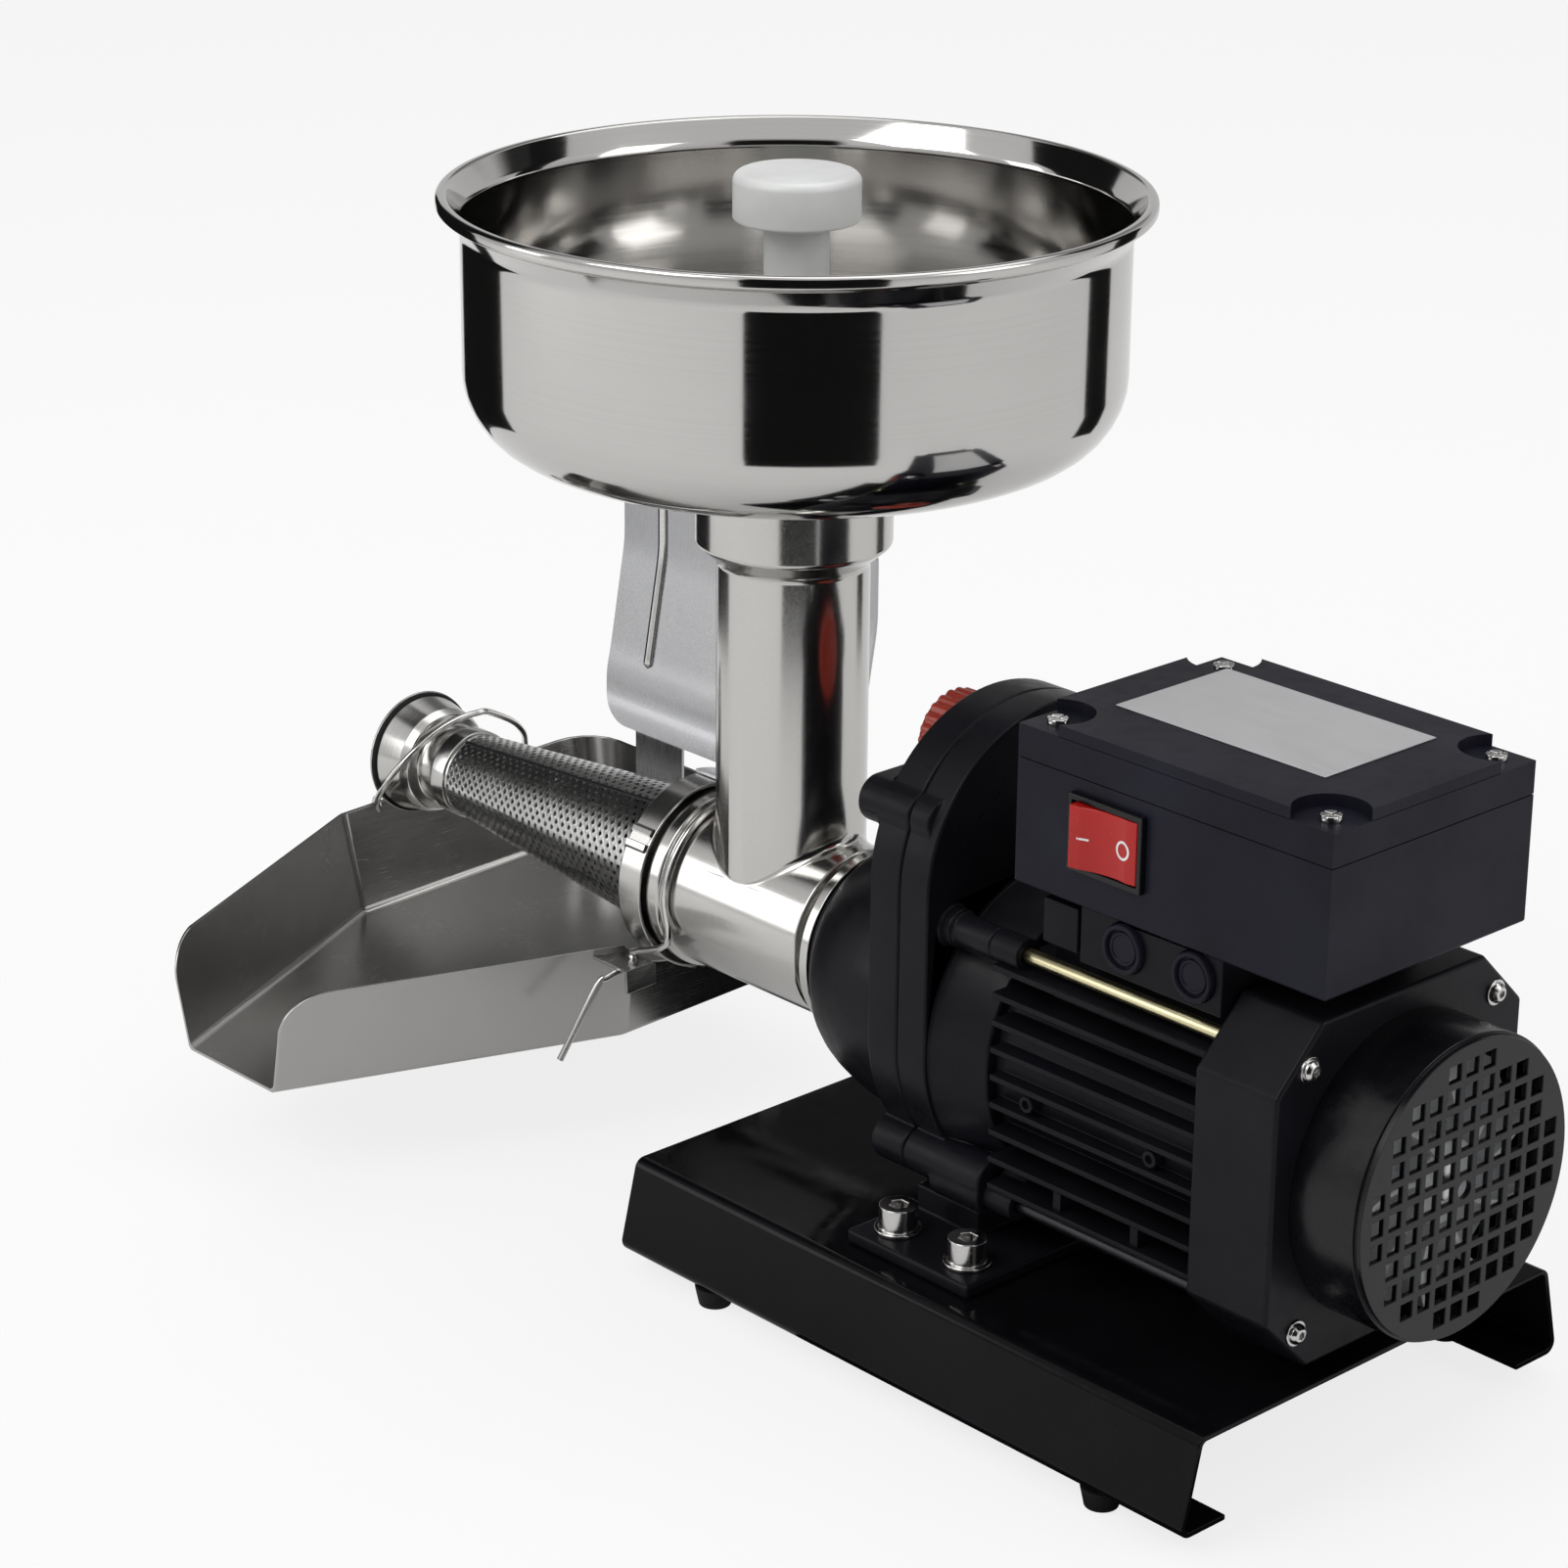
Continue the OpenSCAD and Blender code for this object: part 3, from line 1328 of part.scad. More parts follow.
module box_gasket() {
    half = box_wid / 2;
    color([0.1, 0.1, 0.1]) difference() {
        block([box_x0 + gasket_in, -half + gasket_in, lid_z - gasket_t],
            [box_x1 - gasket_in, half - gasket_in, lid_z]);
        block([box_x0 + gasket_w + gasket_in, -half + gasket_w + gasket_in, lid_z - gasket_t - cut],
            [box_x1 - gasket_w - gasket_in, half - gasket_w - gasket_in, lid_z + cut]);
    }
}

module box_lid() {
    half = box_wid / 2;
    color([0.13, 0.13, 0.15]) difference() {
        union() {
            block([box_x0, -half, lid_z], [box_x1, half, top_face - recess_h]);
            hull() {
                block([box_x0, -half, top_face - recess_h], [box_x1, half, top_face - lid_round]);
                block([box_x0 + lid_round, -half + lid_round, top_face - recess_h],
                    [box_x1 - lid_round, half - lid_round, top_face]);
            }
        }
        block([box_x0 + box_wall, -half + box_wall, lid_z - cut],
            [box_x1 - box_wall, half - box_wall, top_face - recess_h - box_wall]);
        for (p = lid_places) {
            translate([p[0], p[1], top_face - recess_h]) cylinder(r = recess_r, h = recess_h + cut);
            translate([p[0], p[1], lid_z - cut]) cylinder(r = lid_screw_r + free_gap, h = lid_h + 2 * cut);
        }
    }
}

module lid_screws() {
    z = top_face - recess_h;
    color([0.75, 0.75, 0.76]) for (p = lid_places) translate([p[0], p[1], 0]) {
        translate([0, 0, lid_z - post_h / 2 + lid_screw_play])
            cylinder(r = lid_screw_r, h = z - lid_z + post_h / 2 - lid_screw_play);
        translate([0, 0, z]) difference() {
            cylinder(r = lid_head_r, h = lid_head_h);
            block([-lid_head_r, -lid_slot_half, lid_head_h - lid_slot_deep],
                [lid_head_r, lid_slot_half, lid_head_h + cut]);
            block([-lid_slot_half, -lid_head_r, lid_head_h - lid_slot_deep],
                [lid_slot_half, lid_head_r, lid_head_h + cut]);
        }
    }
}

module label_plate() {
    color([0.78, 0.78, 0.79]) block([label_x0, label_y0, top_face], [label_x1, label_y1, top_face + label_t]);
}

module switch_bezel() {
    y0 = -box_wid / 2;
    color([0.05, 0.05, 0.05]) translate([switch_x, y0, switch_z]) difference() {
        union() {
            block([-bezel_w / 2, -bezel_t, -bezel_h / 2], [bezel_w / 2, 0, bezel_h / 2]);
            block([-well_w / 2, 0, -well_h / 2], [well_w / 2, well_d, well_h / 2]);
        }
        block([-rocker_w / 2 - rocker_gap, -bezel_t - cut, -rocker_h / 2 - free_gap],
            [rocker_w / 2 + rocker_gap, rocker_d + bezel_wall, rocker_h / 2 + free_gap]);
    }
}

module switch_rocker() {
    y0 = -box_wid / 2;
    color([0.75, 0.08, 0.06]) translate([switch_x, y0 + axle_in, switch_z]) rotate([0, 0, rocker_tilt])
        difference() {
            translate([-rocker_w / 2 + rocker_trim, -bezel_t - rocker_out, -rocker_h / 2])
                cube([rocker_w - 2 * rocker_trim, rocker_d + axle_in, rocker_h]);
            translate([0, -bezel_t - rocker_out - rocker_round + rocker_lift, -rocker_h / 2 - cut])
                cylinder(r = rocker_round, h = rocker_h + 2 * cut);
            translate([0, 0, -rocker_h / 2 - cut]) cylinder(r = pin_axle_r + run_gap, h = rocker_h + 2 * cut);
        }
}

module rocker_pin() {
    y0 = -box_wid / 2;
    color([0.7, 0.7, 0.7]) translate([switch_x, y0 + axle_in, switch_z - rocker_h / 2 - free_gap])
        cylinder(r = pin_axle_r, h = rocker_h + 2 * free_gap);
}

module knockout_plugs() {
    color([0.09, 0.09, 0.1]) for (x = knock_xs) translate([x, -pad_half, knock_z]) rotate([90, 0, 0])
        translate([0, 0, -knock_t]) cylinder(r = knock_r, h = knock_t + knock_proud);
    color([0.09, 0.09, 0.1]) translate([knock_xs[1], pad_half, knock_z]) rotate([-90, 0, 0])
        translate([0, 0, -knock_t]) cylinder(r = knock_r, h = knock_t + knock_proud);
}

module capacitor() {
    x0 = box_x1 - box_wall - cap_inset - cap_len;
    color([0.75, 0.75, 0.73])
        rod_x(x0, x0 + cap_len, cap_body_r, box_wid / 2 - box_wall - cap_body_r - free_gap,
            box_z0 + box_wall + cap_body_r);
}

module terminal_block() {
    x0 = box_x1 - box_wall - block_inset - block_l;
    z0 = box_z0 + box_wall;
    color([0.85, 0.83, 0.75]) difference() {
        block([x0, -block_w, z0], [x0 + block_l, 0, z0 + block_h]);
        for (i = [0:block_count - 1]) translate([x0 + (i + 0.5) * block_l / block_count, -block_w / 2,
            z0 + block_h - block_screw_h]) cylinder(r = block_screw_r, h = block_screw_h + cut);
    }
}

module cable_gland() {
    color([0.08, 0.08, 0.08]) translate([gland_x, pad_half, gland_z]) rotate([-90, 0, 0]) difference() {
        union() {
            cylinder(r = gland_r, h = gland_nut_h, $fn = gland_flats);
            cylinder(r1 = gland_r - gland_step, r2 = gland_r - gland_taper, h = gland_len);
        }
        translate([0, 0, -cut]) cylinder(r = gland_bore, h = gland_len + 2 * cut);
    }
}

base_channel();
rubber_feet();
foot_screws();
mount_bracket();
mount_bolts();
motor_frame();
stator_core();
stator_windings();
rotor_core();
motor_shaft();
motor_pinion();
front_bearing();
rear_bearing();
end_bell();
tie_bolts();
cooling_fan();
fan_cover();
gear_housing();
gear_cover();
case_screws();
counter_shaft();
counter_gear();
counter_pinion();
counter_bearings();
output_gear();
output_shaft();
output_bearings();
lock_knob();
press_body();
shaft_bush();
auger();
strainer_screw();
strainer();
strainer_ring();
waste_nozzle();
chute();
wire_bails();
splash_guard();
hopper();
pusher();
terminal_box();
box_gasket();
box_lid();
lid_screws();
label_plate();
switch_bezel();
switch_rocker();
rocker_pin();
knockout_plugs();
capacitor();
terminal_block();
cable_gland();
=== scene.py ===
import json
import math
import bmesh
import bpy
from mathutils import Matrix, Vector


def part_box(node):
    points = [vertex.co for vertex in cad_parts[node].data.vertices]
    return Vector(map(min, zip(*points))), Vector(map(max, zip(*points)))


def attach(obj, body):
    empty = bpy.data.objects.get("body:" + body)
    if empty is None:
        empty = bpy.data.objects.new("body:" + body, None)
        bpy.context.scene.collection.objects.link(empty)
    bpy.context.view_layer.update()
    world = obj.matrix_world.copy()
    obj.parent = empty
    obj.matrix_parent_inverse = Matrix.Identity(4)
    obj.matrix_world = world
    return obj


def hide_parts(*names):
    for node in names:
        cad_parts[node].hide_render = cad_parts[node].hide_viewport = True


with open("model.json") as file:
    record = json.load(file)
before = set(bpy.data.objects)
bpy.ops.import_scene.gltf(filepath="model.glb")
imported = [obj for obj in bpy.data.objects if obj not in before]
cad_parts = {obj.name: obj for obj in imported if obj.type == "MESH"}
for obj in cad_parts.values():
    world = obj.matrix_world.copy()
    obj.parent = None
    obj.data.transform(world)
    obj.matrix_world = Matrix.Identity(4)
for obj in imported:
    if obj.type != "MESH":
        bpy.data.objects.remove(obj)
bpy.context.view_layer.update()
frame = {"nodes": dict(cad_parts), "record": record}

MM = 0.001
AXIS = 106.0
NODES = frame["nodes"]
BODY_OF = {n: b for b, names in frame["record"]["behaviour"]["bodies"].items() for n in names}
SLOT_OF = {s["node"]: s["material_slot"] for s in frame["record"]["subparts"]}


# Node helpers

class Tree:
    """Short calls for building a tree of shader nodes."""

    def __init__(self, node_tree):
        self.nt = node_tree

    def node(self, kind, **props):
        n = self.nt.nodes.new(kind)
        for k, v in props.items():
            setattr(n, k, v)
        return n

    def put(self, socket, value):
        if isinstance(value, bpy.types.NodeSocket):
            self.nt.links.new(value, socket)
        else:
            socket.default_value = value

    def math(self, op, a, b=0.0):
        n = self.node("ShaderNodeMath", operation=op)
        self.put(n.inputs[0], a)
        self.put(n.inputs[1], b)
        return n.outputs[0]

    def scaled(self, vector, scale):
        n = self.node("ShaderNodeVectorMath", operation="MULTIPLY")
        self.put(n.inputs[0], vector)
        n.inputs[1].default_value = scale
        return n.outputs[0]

    def noise(self, vector, scale, detail=3.0, rough=0.5):
        n = self.node("ShaderNodeTexNoise")
        self.put(n.inputs["Vector"], vector)
        n.inputs["Scale"].default_value = scale
        n.inputs["Detail"].default_value = detail
        n.inputs["Roughness"].default_value = rough
        return n.outputs["Fac"]

    def span(self, value, low, high, to_low, to_high):
        n = self.node("ShaderNodeMapRange")
        self.put(n.inputs[0], value)
        for i, v in enumerate((low, high, to_low, to_high), 1):
            n.inputs[i].default_value = v
        return n.outputs[0]

    def ramp(self, value, stops):
        n = self.node("ShaderNodeValToRGB")
        self.put(n.inputs[0], value)
        e = n.color_ramp.elements
        while len(e) < len(stops):
            e.new(0.5)
        for el, (at, col) in zip(e, stops):
            el.position = at
            el.color = (*col, 1.0)
        return n.outputs[0]

    def bump(self, height, strength, distance):
        n = self.node("ShaderNodeBump")
        n.inputs["Strength"].default_value = strength
        n.inputs["Distance"].default_value = distance
        self.put(n.inputs["Height"], height)
        return n.outputs[0]

    def mix(self, factor, first, second):
        """One shader or the other."""
        n = self.node("ShaderNodeMixShader")
        for i, socket in enumerate((factor, first, second)):
            self.put(n.inputs[i], socket)
        return n.outputs[0]

    def mix_color(self, factor, first, second):
        n = self.node("ShaderNodeMix", data_type="RGBA")
        self.put(n.inputs[0], factor)
        self.put(n.inputs[6], first)
        self.put(n.inputs[7], second)
        return n.outputs[2]

    def parts(self, vector):
        n = self.node("ShaderNodeSeparateXYZ")
        self.put(n.inputs[0], vector)
        return n.outputs

    def spun(self, centre, axis):
        """Coordinates of length along a turning axis and distance from it, so that grain runs round the axis."""
        shift = self.node("ShaderNodeVectorMath", operation="SUBTRACT")
        self.put(shift.inputs[0], self.coord)
        shift.inputs[1].default_value = Vector(centre) * MM
        x, y, z = self.parts(shift.outputs[0])
        along, a, b = (x, y, z) if axis == "X" else (z, x, y)
        far = self.math("SQRT", self.math("ADD", self.math("MULTIPLY", a, a), self.math("MULTIPLY", b, b)))
        join = self.node("ShaderNodeCombineXYZ")
        self.put(join.inputs[0], along)
        self.put(join.inputs[1], far)
        return join.outputs[0]


def surface(name):
    """The tree of a new material, with its shader and the object's coordinates."""
    mat = bpy.data.materials.new(name)
    mat.use_nodes = True
    t = Tree(mat.node_tree)
    t.mat = mat
    t.bsdf = t.nt.nodes["Principled BSDF"]
    t.coord = t.node("ShaderNodeTexCoord").outputs["Object"]
    return t


def shade(t, color, rough, metal=0.0, spec=0.5, coat=0.0):
    b = t.bsdf.inputs
    t.put(b["Base Color"], color if isinstance(color, bpy.types.NodeSocket) else (*color, 1.0))
    t.put(b["Roughness"], rough)
    b["Metallic"].default_value = metal
    b["Specular IOR Level"].default_value = spec
    b["Coat Weight"].default_value = coat
    b["Coat Roughness"].default_value = 0.05
    return t.mat


def tint(color, k):
    return tuple(min(1.0, c * k) for c in color)


def paint(name, color, rough, spec, grain, depth):
    """Paint on cast or sheet metal: fine orange peel, slow changes of tone and of gloss."""
    t = surface(name)
    slow = t.noise(t.coord, 28.0, 4.0)
    fine = t.noise(t.coord, grain, 3.0, 0.6)
    col = t.ramp(slow, [(0.3, tint(color, 0.8)), (0.7, tint(color, 1.5))])
    shade(t, col, t.span(t.noise(t.coord, 160.0, 4.0), 0.3, 0.7, rough - 0.05, rough + 0.07), 0.0, spec)
    t.put(t.bsdf.inputs["Normal"], t.bump(fine, 0.35, depth * MM))
    return t.mat


def metal(name, color, rough=0.25, grain="none", centre=(0, 0, AXIS), depth=0.012, contrast=0.12, tight=1.0,
          metallic=1.0):
    """Metal with a grain that runs along X, Y or Z, round an axis, or with none."""
    t = surface(name)
    if grain in ("spun_x", "spun_z"):
        base = t.spun(centre, "X" if grain == "spun_x" else "Z")
        lines = t.noise(t.scaled(base, (0.35, 0.35, 0.0)), 9000.0 * tight, 2.0)
    elif grain in ("x", "y", "z"):
        k = {"x": (0.012, 1, 1), "y": (1, 0.012, 1), "z": (1, 1, 0.012)}[grain]
        lines = t.noise(t.scaled(t.coord, k), 2700.0 * tight, 3.0)
    else:
        lines = t.noise(t.coord, 1400.0, 4.0)
    slow = t.noise(t.coord, 42.0, 3.0)
    mixed = t.math("ADD", t.math("MULTIPLY", lines, 0.7), t.math("MULTIPLY", slow, 0.3))
    col = t.ramp(mixed, [(0.3, tint(color, 1 - contrast)), (0.7, tint(color, 1 + contrast))])
    shade(t, col, t.span(mixed, 0.3, 0.7, rough * 0.75, rough * 1.3), metallic)
    t.put(t.bsdf.inputs["Normal"], t.bump(lines, 0.3, depth * MM))
    return t.mat


def plastic(name, color, rough=0.3, spec=0.5, coat=0.0, depth=0.02, grain=1800.0):
    """Moulded plastic or rubber, a little uneven in tone and gloss."""
    t = surface(name)
    slow = t.noise(t.coord, 40.0, 3.0)
    col = t.ramp(slow, [(0.3, tint(color, 0.92)), (0.7, tint(color, 1.08))])
    shade(t, col, t.span(t.noise(t.coord, 300.0, 3.0), 0.3, 0.7, rough * 0.85, rough * 1.15), 0.0, spec, coat)
    t.put(t.bsdf.inputs["Normal"], t.bump(t.noise(t.coord, grain, 2.0), 0.25, depth * MM))
    return t.mat


BLACK = (0.0062, 0.0062, 0.0084)
TUBE_X = -144.0
HUB = (TUBE_X, 0, 300)
MATS = {
    "base_black": paint("base_black", (0.0034, 0.0034, 0.0042), 0.10, 0.11, 700.0, 0.004),
    "black_rubber": plastic("black_rubber", (0.010, 0.010, 0.010), 0.7, 0.2, 0.0, 0.06, 900.0),
    "zinc_steel": metal("zinc_steel", (0.55, 0.55, 0.56), 0.35),
    "cast_black": paint("cast_black", BLACK, 0.32, 0.12, 1100.0, 0.04),
    "bright_steel": metal("bright_steel", (0.62, 0.61, 0.60), 0.16),
    "motor_black": paint("motor_black", BLACK, 0.36, 0.10, 900.0, 0.05),
    "core_steel": metal("core_steel", (0.30, 0.30, 0.32), 0.45, "x"),
    "copper_winding": metal("copper_winding", (0.50, 0.22, 0.09), 0.35, "spun_x", depth=0.1),
    "ground_steel": metal("ground_steel", (0.58, 0.58, 0.59), 0.18, "spun_x"),
    "gear_steel": metal("gear_steel", (0.42, 0.42, 0.44), 0.3, "spun_x"),
    "yellow_zinc": metal("yellow_zinc", (0.70, 0.64, 0.40), 0.26, "x"),
    "grey_plastic": plastic("grey_plastic", (0.66, 0.67, 0.68), 0.45),
    "gloss_black": paint("gloss_black", (0.0036, 0.0036, 0.0048), 0.24, 0.30, 600.0, 0.01),
    "dark_steel": metal("dark_steel", (0.05, 0.05, 0.055), 0.4),
    "red_knob": plastic("red_knob", (0.36, 0.030, 0.014), 0.3, 0.5),
    "polished_cast": metal("polished_cast", (0.55, 0.542, 0.525), 0.16, depth=0.006, contrast=0.05),
    "white_bush": plastic("white_bush", (0.80, 0.80, 0.77), 0.4),
    "perforated_steel": metal("perforated_steel", (0.60, 0.60, 0.59), 0.22, "x", contrast=0.08),
    "satin_steel": metal("satin_steel", (0.54, 0.535, 0.52), 0.19, "spun_x", contrast=0.08),
    "brushed_sheet": metal("brushed_sheet", (0.42, 0.415, 0.405), 0.22, "y", depth=0.0012, contrast=0.05, tight=2.0),
    "satin_sheet": metal("satin_sheet", (0.44, 0.44, 0.45), 0.26, "z", depth=0.0008, contrast=0.03, tight=2.0),
    "mirror_steel": metal("mirror_steel", (0.54, 0.531, 0.5175), 0.08, "spun_z", HUB, 0.002, 0.03, 0.5),
    "clear_white": plastic("clear_white", (0.78, 0.79, 0.78), 0.35, 0.5, 0.0, 0.03),
    "box_black": paint("box_black", (0.0085, 0.0085, 0.0145), 0.34, 0.11, 1500.0, 0.02),
    "silver_label": metal("silver_label", (0.50, 0.50, 0.51), 0.50, "x", depth=0.004, contrast=0.04, metallic=0.35),
    "red_rocker": plastic("red_rocker", (0.40, 0.008, 0.006), 0.24, 0.35, 0.05, 0.008),
    "can_aluminium": metal("can_aluminium", (0.68, 0.68, 0.67), 0.3, "x"),
    "cream_plastic": plastic("cream_plastic", (0.72, 0.68, 0.56), 0.4),
    "white_print": plastic("white_print", (0.80, 0.80, 0.80), 0.5),
}
milky = MATS["clear_white"].node_tree.nodes["Principled BSDF"].inputs
milky["Subsurface Weight"].default_value = 0.35
milky["Subsurface Radius"].default_value = (0.006, 0.006, 0.006)


# Mesh helpers

def piece(name, bm, mat, body, nodes=(), sharp=38.0, weighted=False):
    """Turns a bmesh in metres into a named piece that rides on a body and stands for CAD nodes."""
    bmesh.ops.recalc_face_normals(bm, faces=bm.faces)
    mesh = bpy.data.meshes.new(name)
    bm.to_mesh(mesh)
    bm.free()
    for p in mesh.polygons:
        p.use_smooth = True
    mesh.set_sharp_from_angle(angle=math.radians(sharp))
    mesh.materials.append(MATS[mat])
    obj = bpy.data.objects.new(name, mesh)
    bpy.context.scene.collection.objects.link(obj)
    if weighted:
        w = obj.modifiers.new("normals", "WEIGHTED_NORMAL")
        w.keep_sharp = True
    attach(obj, body)
    for n in nodes:
        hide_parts(n)
    return obj


def rounded(points, steps=5):
    """A closed outline of (a, b, radius) corners, each corner turned into an arc."""
    out = []
    n = len(points)
    for i, p in enumerate(points):
        c = Vector(p[:2])
        r = p[2] if len(p) > 2 else 0.0
        u = Vector(points[i - 1][:2]) - c
        v = Vector(points[(i + 1) % n][:2]) - c
        if r <= 0 or u.length < 1e-6 or v.length < 1e-6:
            out.append((c.x, c.y))
            continue
        half = u.angle(v) / 2
        if half > math.radians(88) or half < math.radians(2):
            out.append((c.x, c.y))
            continue
        cut = min(r / math.tan(half), 0.49 * u.length, 0.49 * v.length)
        r = cut * math.tan(half)
        u.normalize()
        v.normalize()
        centre = c + (u + v).normalized() * (r / math.sin(half))
        a = c + u * cut - centre
        b = c + v * cut - centre
        total = a.angle_signed(b)
        for k in range(steps + 1):
            q = Matrix.Rotation(-total * k / steps, 2) @ a
            out.append((centre.x + q.x, centre.y + q.y))
    return out


def lathe(profile, centre, axis="X", segments=96, bm=None, wave=None):
    """Turns a closed outline of (radius, height) about an axis through a centre, in mm."""
    bm = bm or bmesh.new()
    rings = []
    for r, h in profile:
        if r < 1e-6:
            ring = [bm.verts.new(spot(0, 0, h, centre, axis))] * segments
        else:
            ring = []
            for k in range(segments):
                a = 2 * math.pi * k / segments
                q = r + (wave(r, a) if wave else 0.0)
                ring.append(bm.verts.new(spot(q * math.cos(a), q * math.sin(a), h, centre, axis)))
        rings.append(ring)
    for i in range(len(rings)):
        a, b = rings[i], rings[(i + 1) % len(rings)]
        for k in range(segments):
            j = (k + 1) % segments
            corner = []
            for v in (a[k], a[j], b[j], b[k]):
                if v not in corner:
                    corner.append(v)
            if len(corner) > 2:
                bm.faces.new(corner)
    return bm


def spot(a, b, h, centre, axis):
    v = Vector((h, a, b)) if axis == "X" else Vector((a, b, h))
    return (v + Vector(centre)) * MM


def prism(outline, low, high, plane="YZ", bm=None):
    """Extrudes an outline in mm between two stations of the third axis."""
    bm = bm or bmesh.new()

    def at(p, h):
        a, b = p
        return Vector({"YZ": (h, a, b), "XZ": (a, h, b), "XY": (a, b, h)}[plane]) * MM

    lo = [bm.verts.new(at(p, low)) for p in outline]
    hi = [bm.verts.new(at(p, high)) for p in outline]
    bm.faces.new(lo)
    bm.faces.new(list(reversed(hi)))
    for i in range(len(lo)):
        j = (i + 1) % len(lo)
        bm.faces.new((lo[i], hi[i], hi[j], lo[j]))
    return bm


def merge(bm, part):
    """Adds one bmesh to another and frees it."""
    held = bpy.data.meshes.new("held")
    part.to_mesh(held)
    part.free()
    bm.from_mesh(held)
    bpy.data.meshes.remove(held)


def bevel(bm, width, segments=2, angle=30.0, choose=None):
    """Rounds the edges that are sharper than an angle."""
    edges = [e for e in bm.edges if len(e.link_faces) == 2 and e.calc_face_angle(0.0) > math.radians(angle)
             and (choose is None or choose(e))]
    if edges:
        bmesh.ops.bevel(bm, geom=edges, offset=width * MM, offset_type="OFFSET", segments=segments, profile=0.5,
                        affect="EDGES", clamp_overlap=False)
    return bm


def clean_copy(node, flat=0.6):
    """The CAD node's mesh with its split points joined and its flat faces whole."""
    bm = bmesh.new()
    bm.from_mesh(NODES[node].data)
    bmesh.ops.remove_doubles(bm, verts=bm.verts, dist=2e-6)
    bmesh.ops.dissolve_limit(bm, angle_limit=math.radians(flat), verts=bm.verts, edges=bm.edges)
    return bm


def soften(node, width, segments=2, choose=None):
    """Stands a copy with rounded edges in for a CAD node."""
    bm = bevel(clean_copy(node), width, segments, 32.0, choose)
    piece(node + "_soft", bm, SLOT_OF[node], BODY_OF[node], [node], weighted=True)


def tube(path, r, sides=12, bm=None):
    """A round wire along points in mm."""
    bm = bm or bmesh.new()
    pts = [Vector(p) for p in path]
    n = len(pts)
    rings = []
    up = Vector((1, 0, 0))
    for i, p in enumerate(pts):
        t = (pts[min(i + 1, n - 1)] - pts[max(i - 1, 0)]).normalized()
        u = (up - t * up.dot(t)).normalized()
        up = u
        v = t.cross(u)
        turns = [2 * math.pi * k / sides for k in range(sides)]
        rings.append([bm.verts.new((p + r * (math.cos(a) * u + math.sin(a) * v)) * MM) for a in turns])
    for a, b in zip(rings, rings[1:]):
        for k in range(sides):
            j = (k + 1) % sides
            bm.faces.new((a[k], a[j], b[j], b[k]))
    bm.faces.new(list(reversed(rings[0])))
    bm.faces.new(rings[-1])
    return bm


def smooth_path(points, per=6):
    """A smooth line through points."""
    p = [Vector(q) for q in points]
    p = [2 * p[0] - p[1]] + p + [2 * p[-1] - p[-2]]
    out = []
    for i in range(1, len(p) - 2):
        for k in range(per):
            t = k / per
            out.append(0.5 * ((2 * p[i]) + (p[i + 1] - p[i - 1]) * t
                              + (2 * p[i - 1] - 5 * p[i] + 4 * p[i + 1] - p[i + 2]) * t * t
                              + (3 * p[i] - p[i - 1] - 3 * p[i + 1] + p[i + 2]) * t ** 3))
    out.append(p[-2])
    return out


def cut_with(obj, tools, mode="DIFFERENCE"):
    """Joins or cuts a piece with tool meshes, and applies it."""
    for bm in tools:
        bmesh.ops.recalc_face_normals(bm, faces=bm.faces)
        mesh = bpy.data.meshes.new("tool")
        bm.to_mesh(mesh)
        bm.free()
        tool = bpy.data.objects.new("tool", mesh)
        bpy.context.scene.collection.objects.link(tool)
        m = obj.modifiers.new("cut", "BOOLEAN")
        m.operation = mode
        m.solver = "MANIFOLD"
        m.object = tool
        bpy.context.view_layer.update()
        done = bpy.data.meshes.new_from_object(obj.evaluated_get(bpy.context.evaluated_depsgraph_get()))
        obj.modifiers.remove(m)
        old = obj.data
        obj.data = done
        bpy.data.meshes.remove(old)
        bpy.data.objects.remove(tool)
        bpy.data.meshes.remove(mesh)


def shade_again(obj, sharp=32.0):
    for p in obj.data.polygons:
        p.use_smooth = True
    obj.data.set_sharp_from_angle(angle=math.radians(sharp))
    w = obj.modifiers.new("normals", "WEIGHTED_NORMAL")
    w.keep_sharp = True


# CAD nodes keep their shape and get their finish

for name, obj in NODES.items():
    obj.data.materials.clear()
    obj.data.materials.append(MATS[SLOT_OF[name]])

for name in ("rubber_feet", "foot_screws", "mount_bolts", "lid_screws", "case_screws", "switch_bezel", "cable_gland"):
    soften(name, 0.35)
soften("mount_bracket", 1.2, 3)
soften("motor_frame", 0.5)
soften("end_bell", 1.4, 3)
soften("gear_housing", 1.0, 3)
soften("gear_cover", 1.2, 3)
soften("base_channel", 0.5)
LID_Z, LID_STEP, LID_TOP = 218.0, 228.0, 232.0
soften("terminal_box", 0.8, 3, lambda e: max(v.co.z for v in e.verts) < (LID_Z - 2) * MM)
soften("label_plate", 0.15, 1)

# Fan cover: its front edge is rounder than the holes of its grille
COVER_R, COVER_X = 50.0, 158.0
hood = clean_copy("fan_cover")


def on_front_edge(e):
    return all(abs(v.co.x - COVER_X * MM) < 5e-5 and math.hypot(v.co.y, v.co.z - AXIS * MM) > (COVER_R - 0.2) * MM
               for v in e.verts)


bevel(hood, 1.9, 5, 30.0, on_front_edge)
bevel(hood, 0.3, 2, 50.0, lambda e: e.verts[0].co.x > 140 * MM)
piece("fan_cover_soft", hood, SLOT_OF["fan_cover"], BODY_OF["fan_cover"], ["fan_cover"], sharp=30, weighted=True)

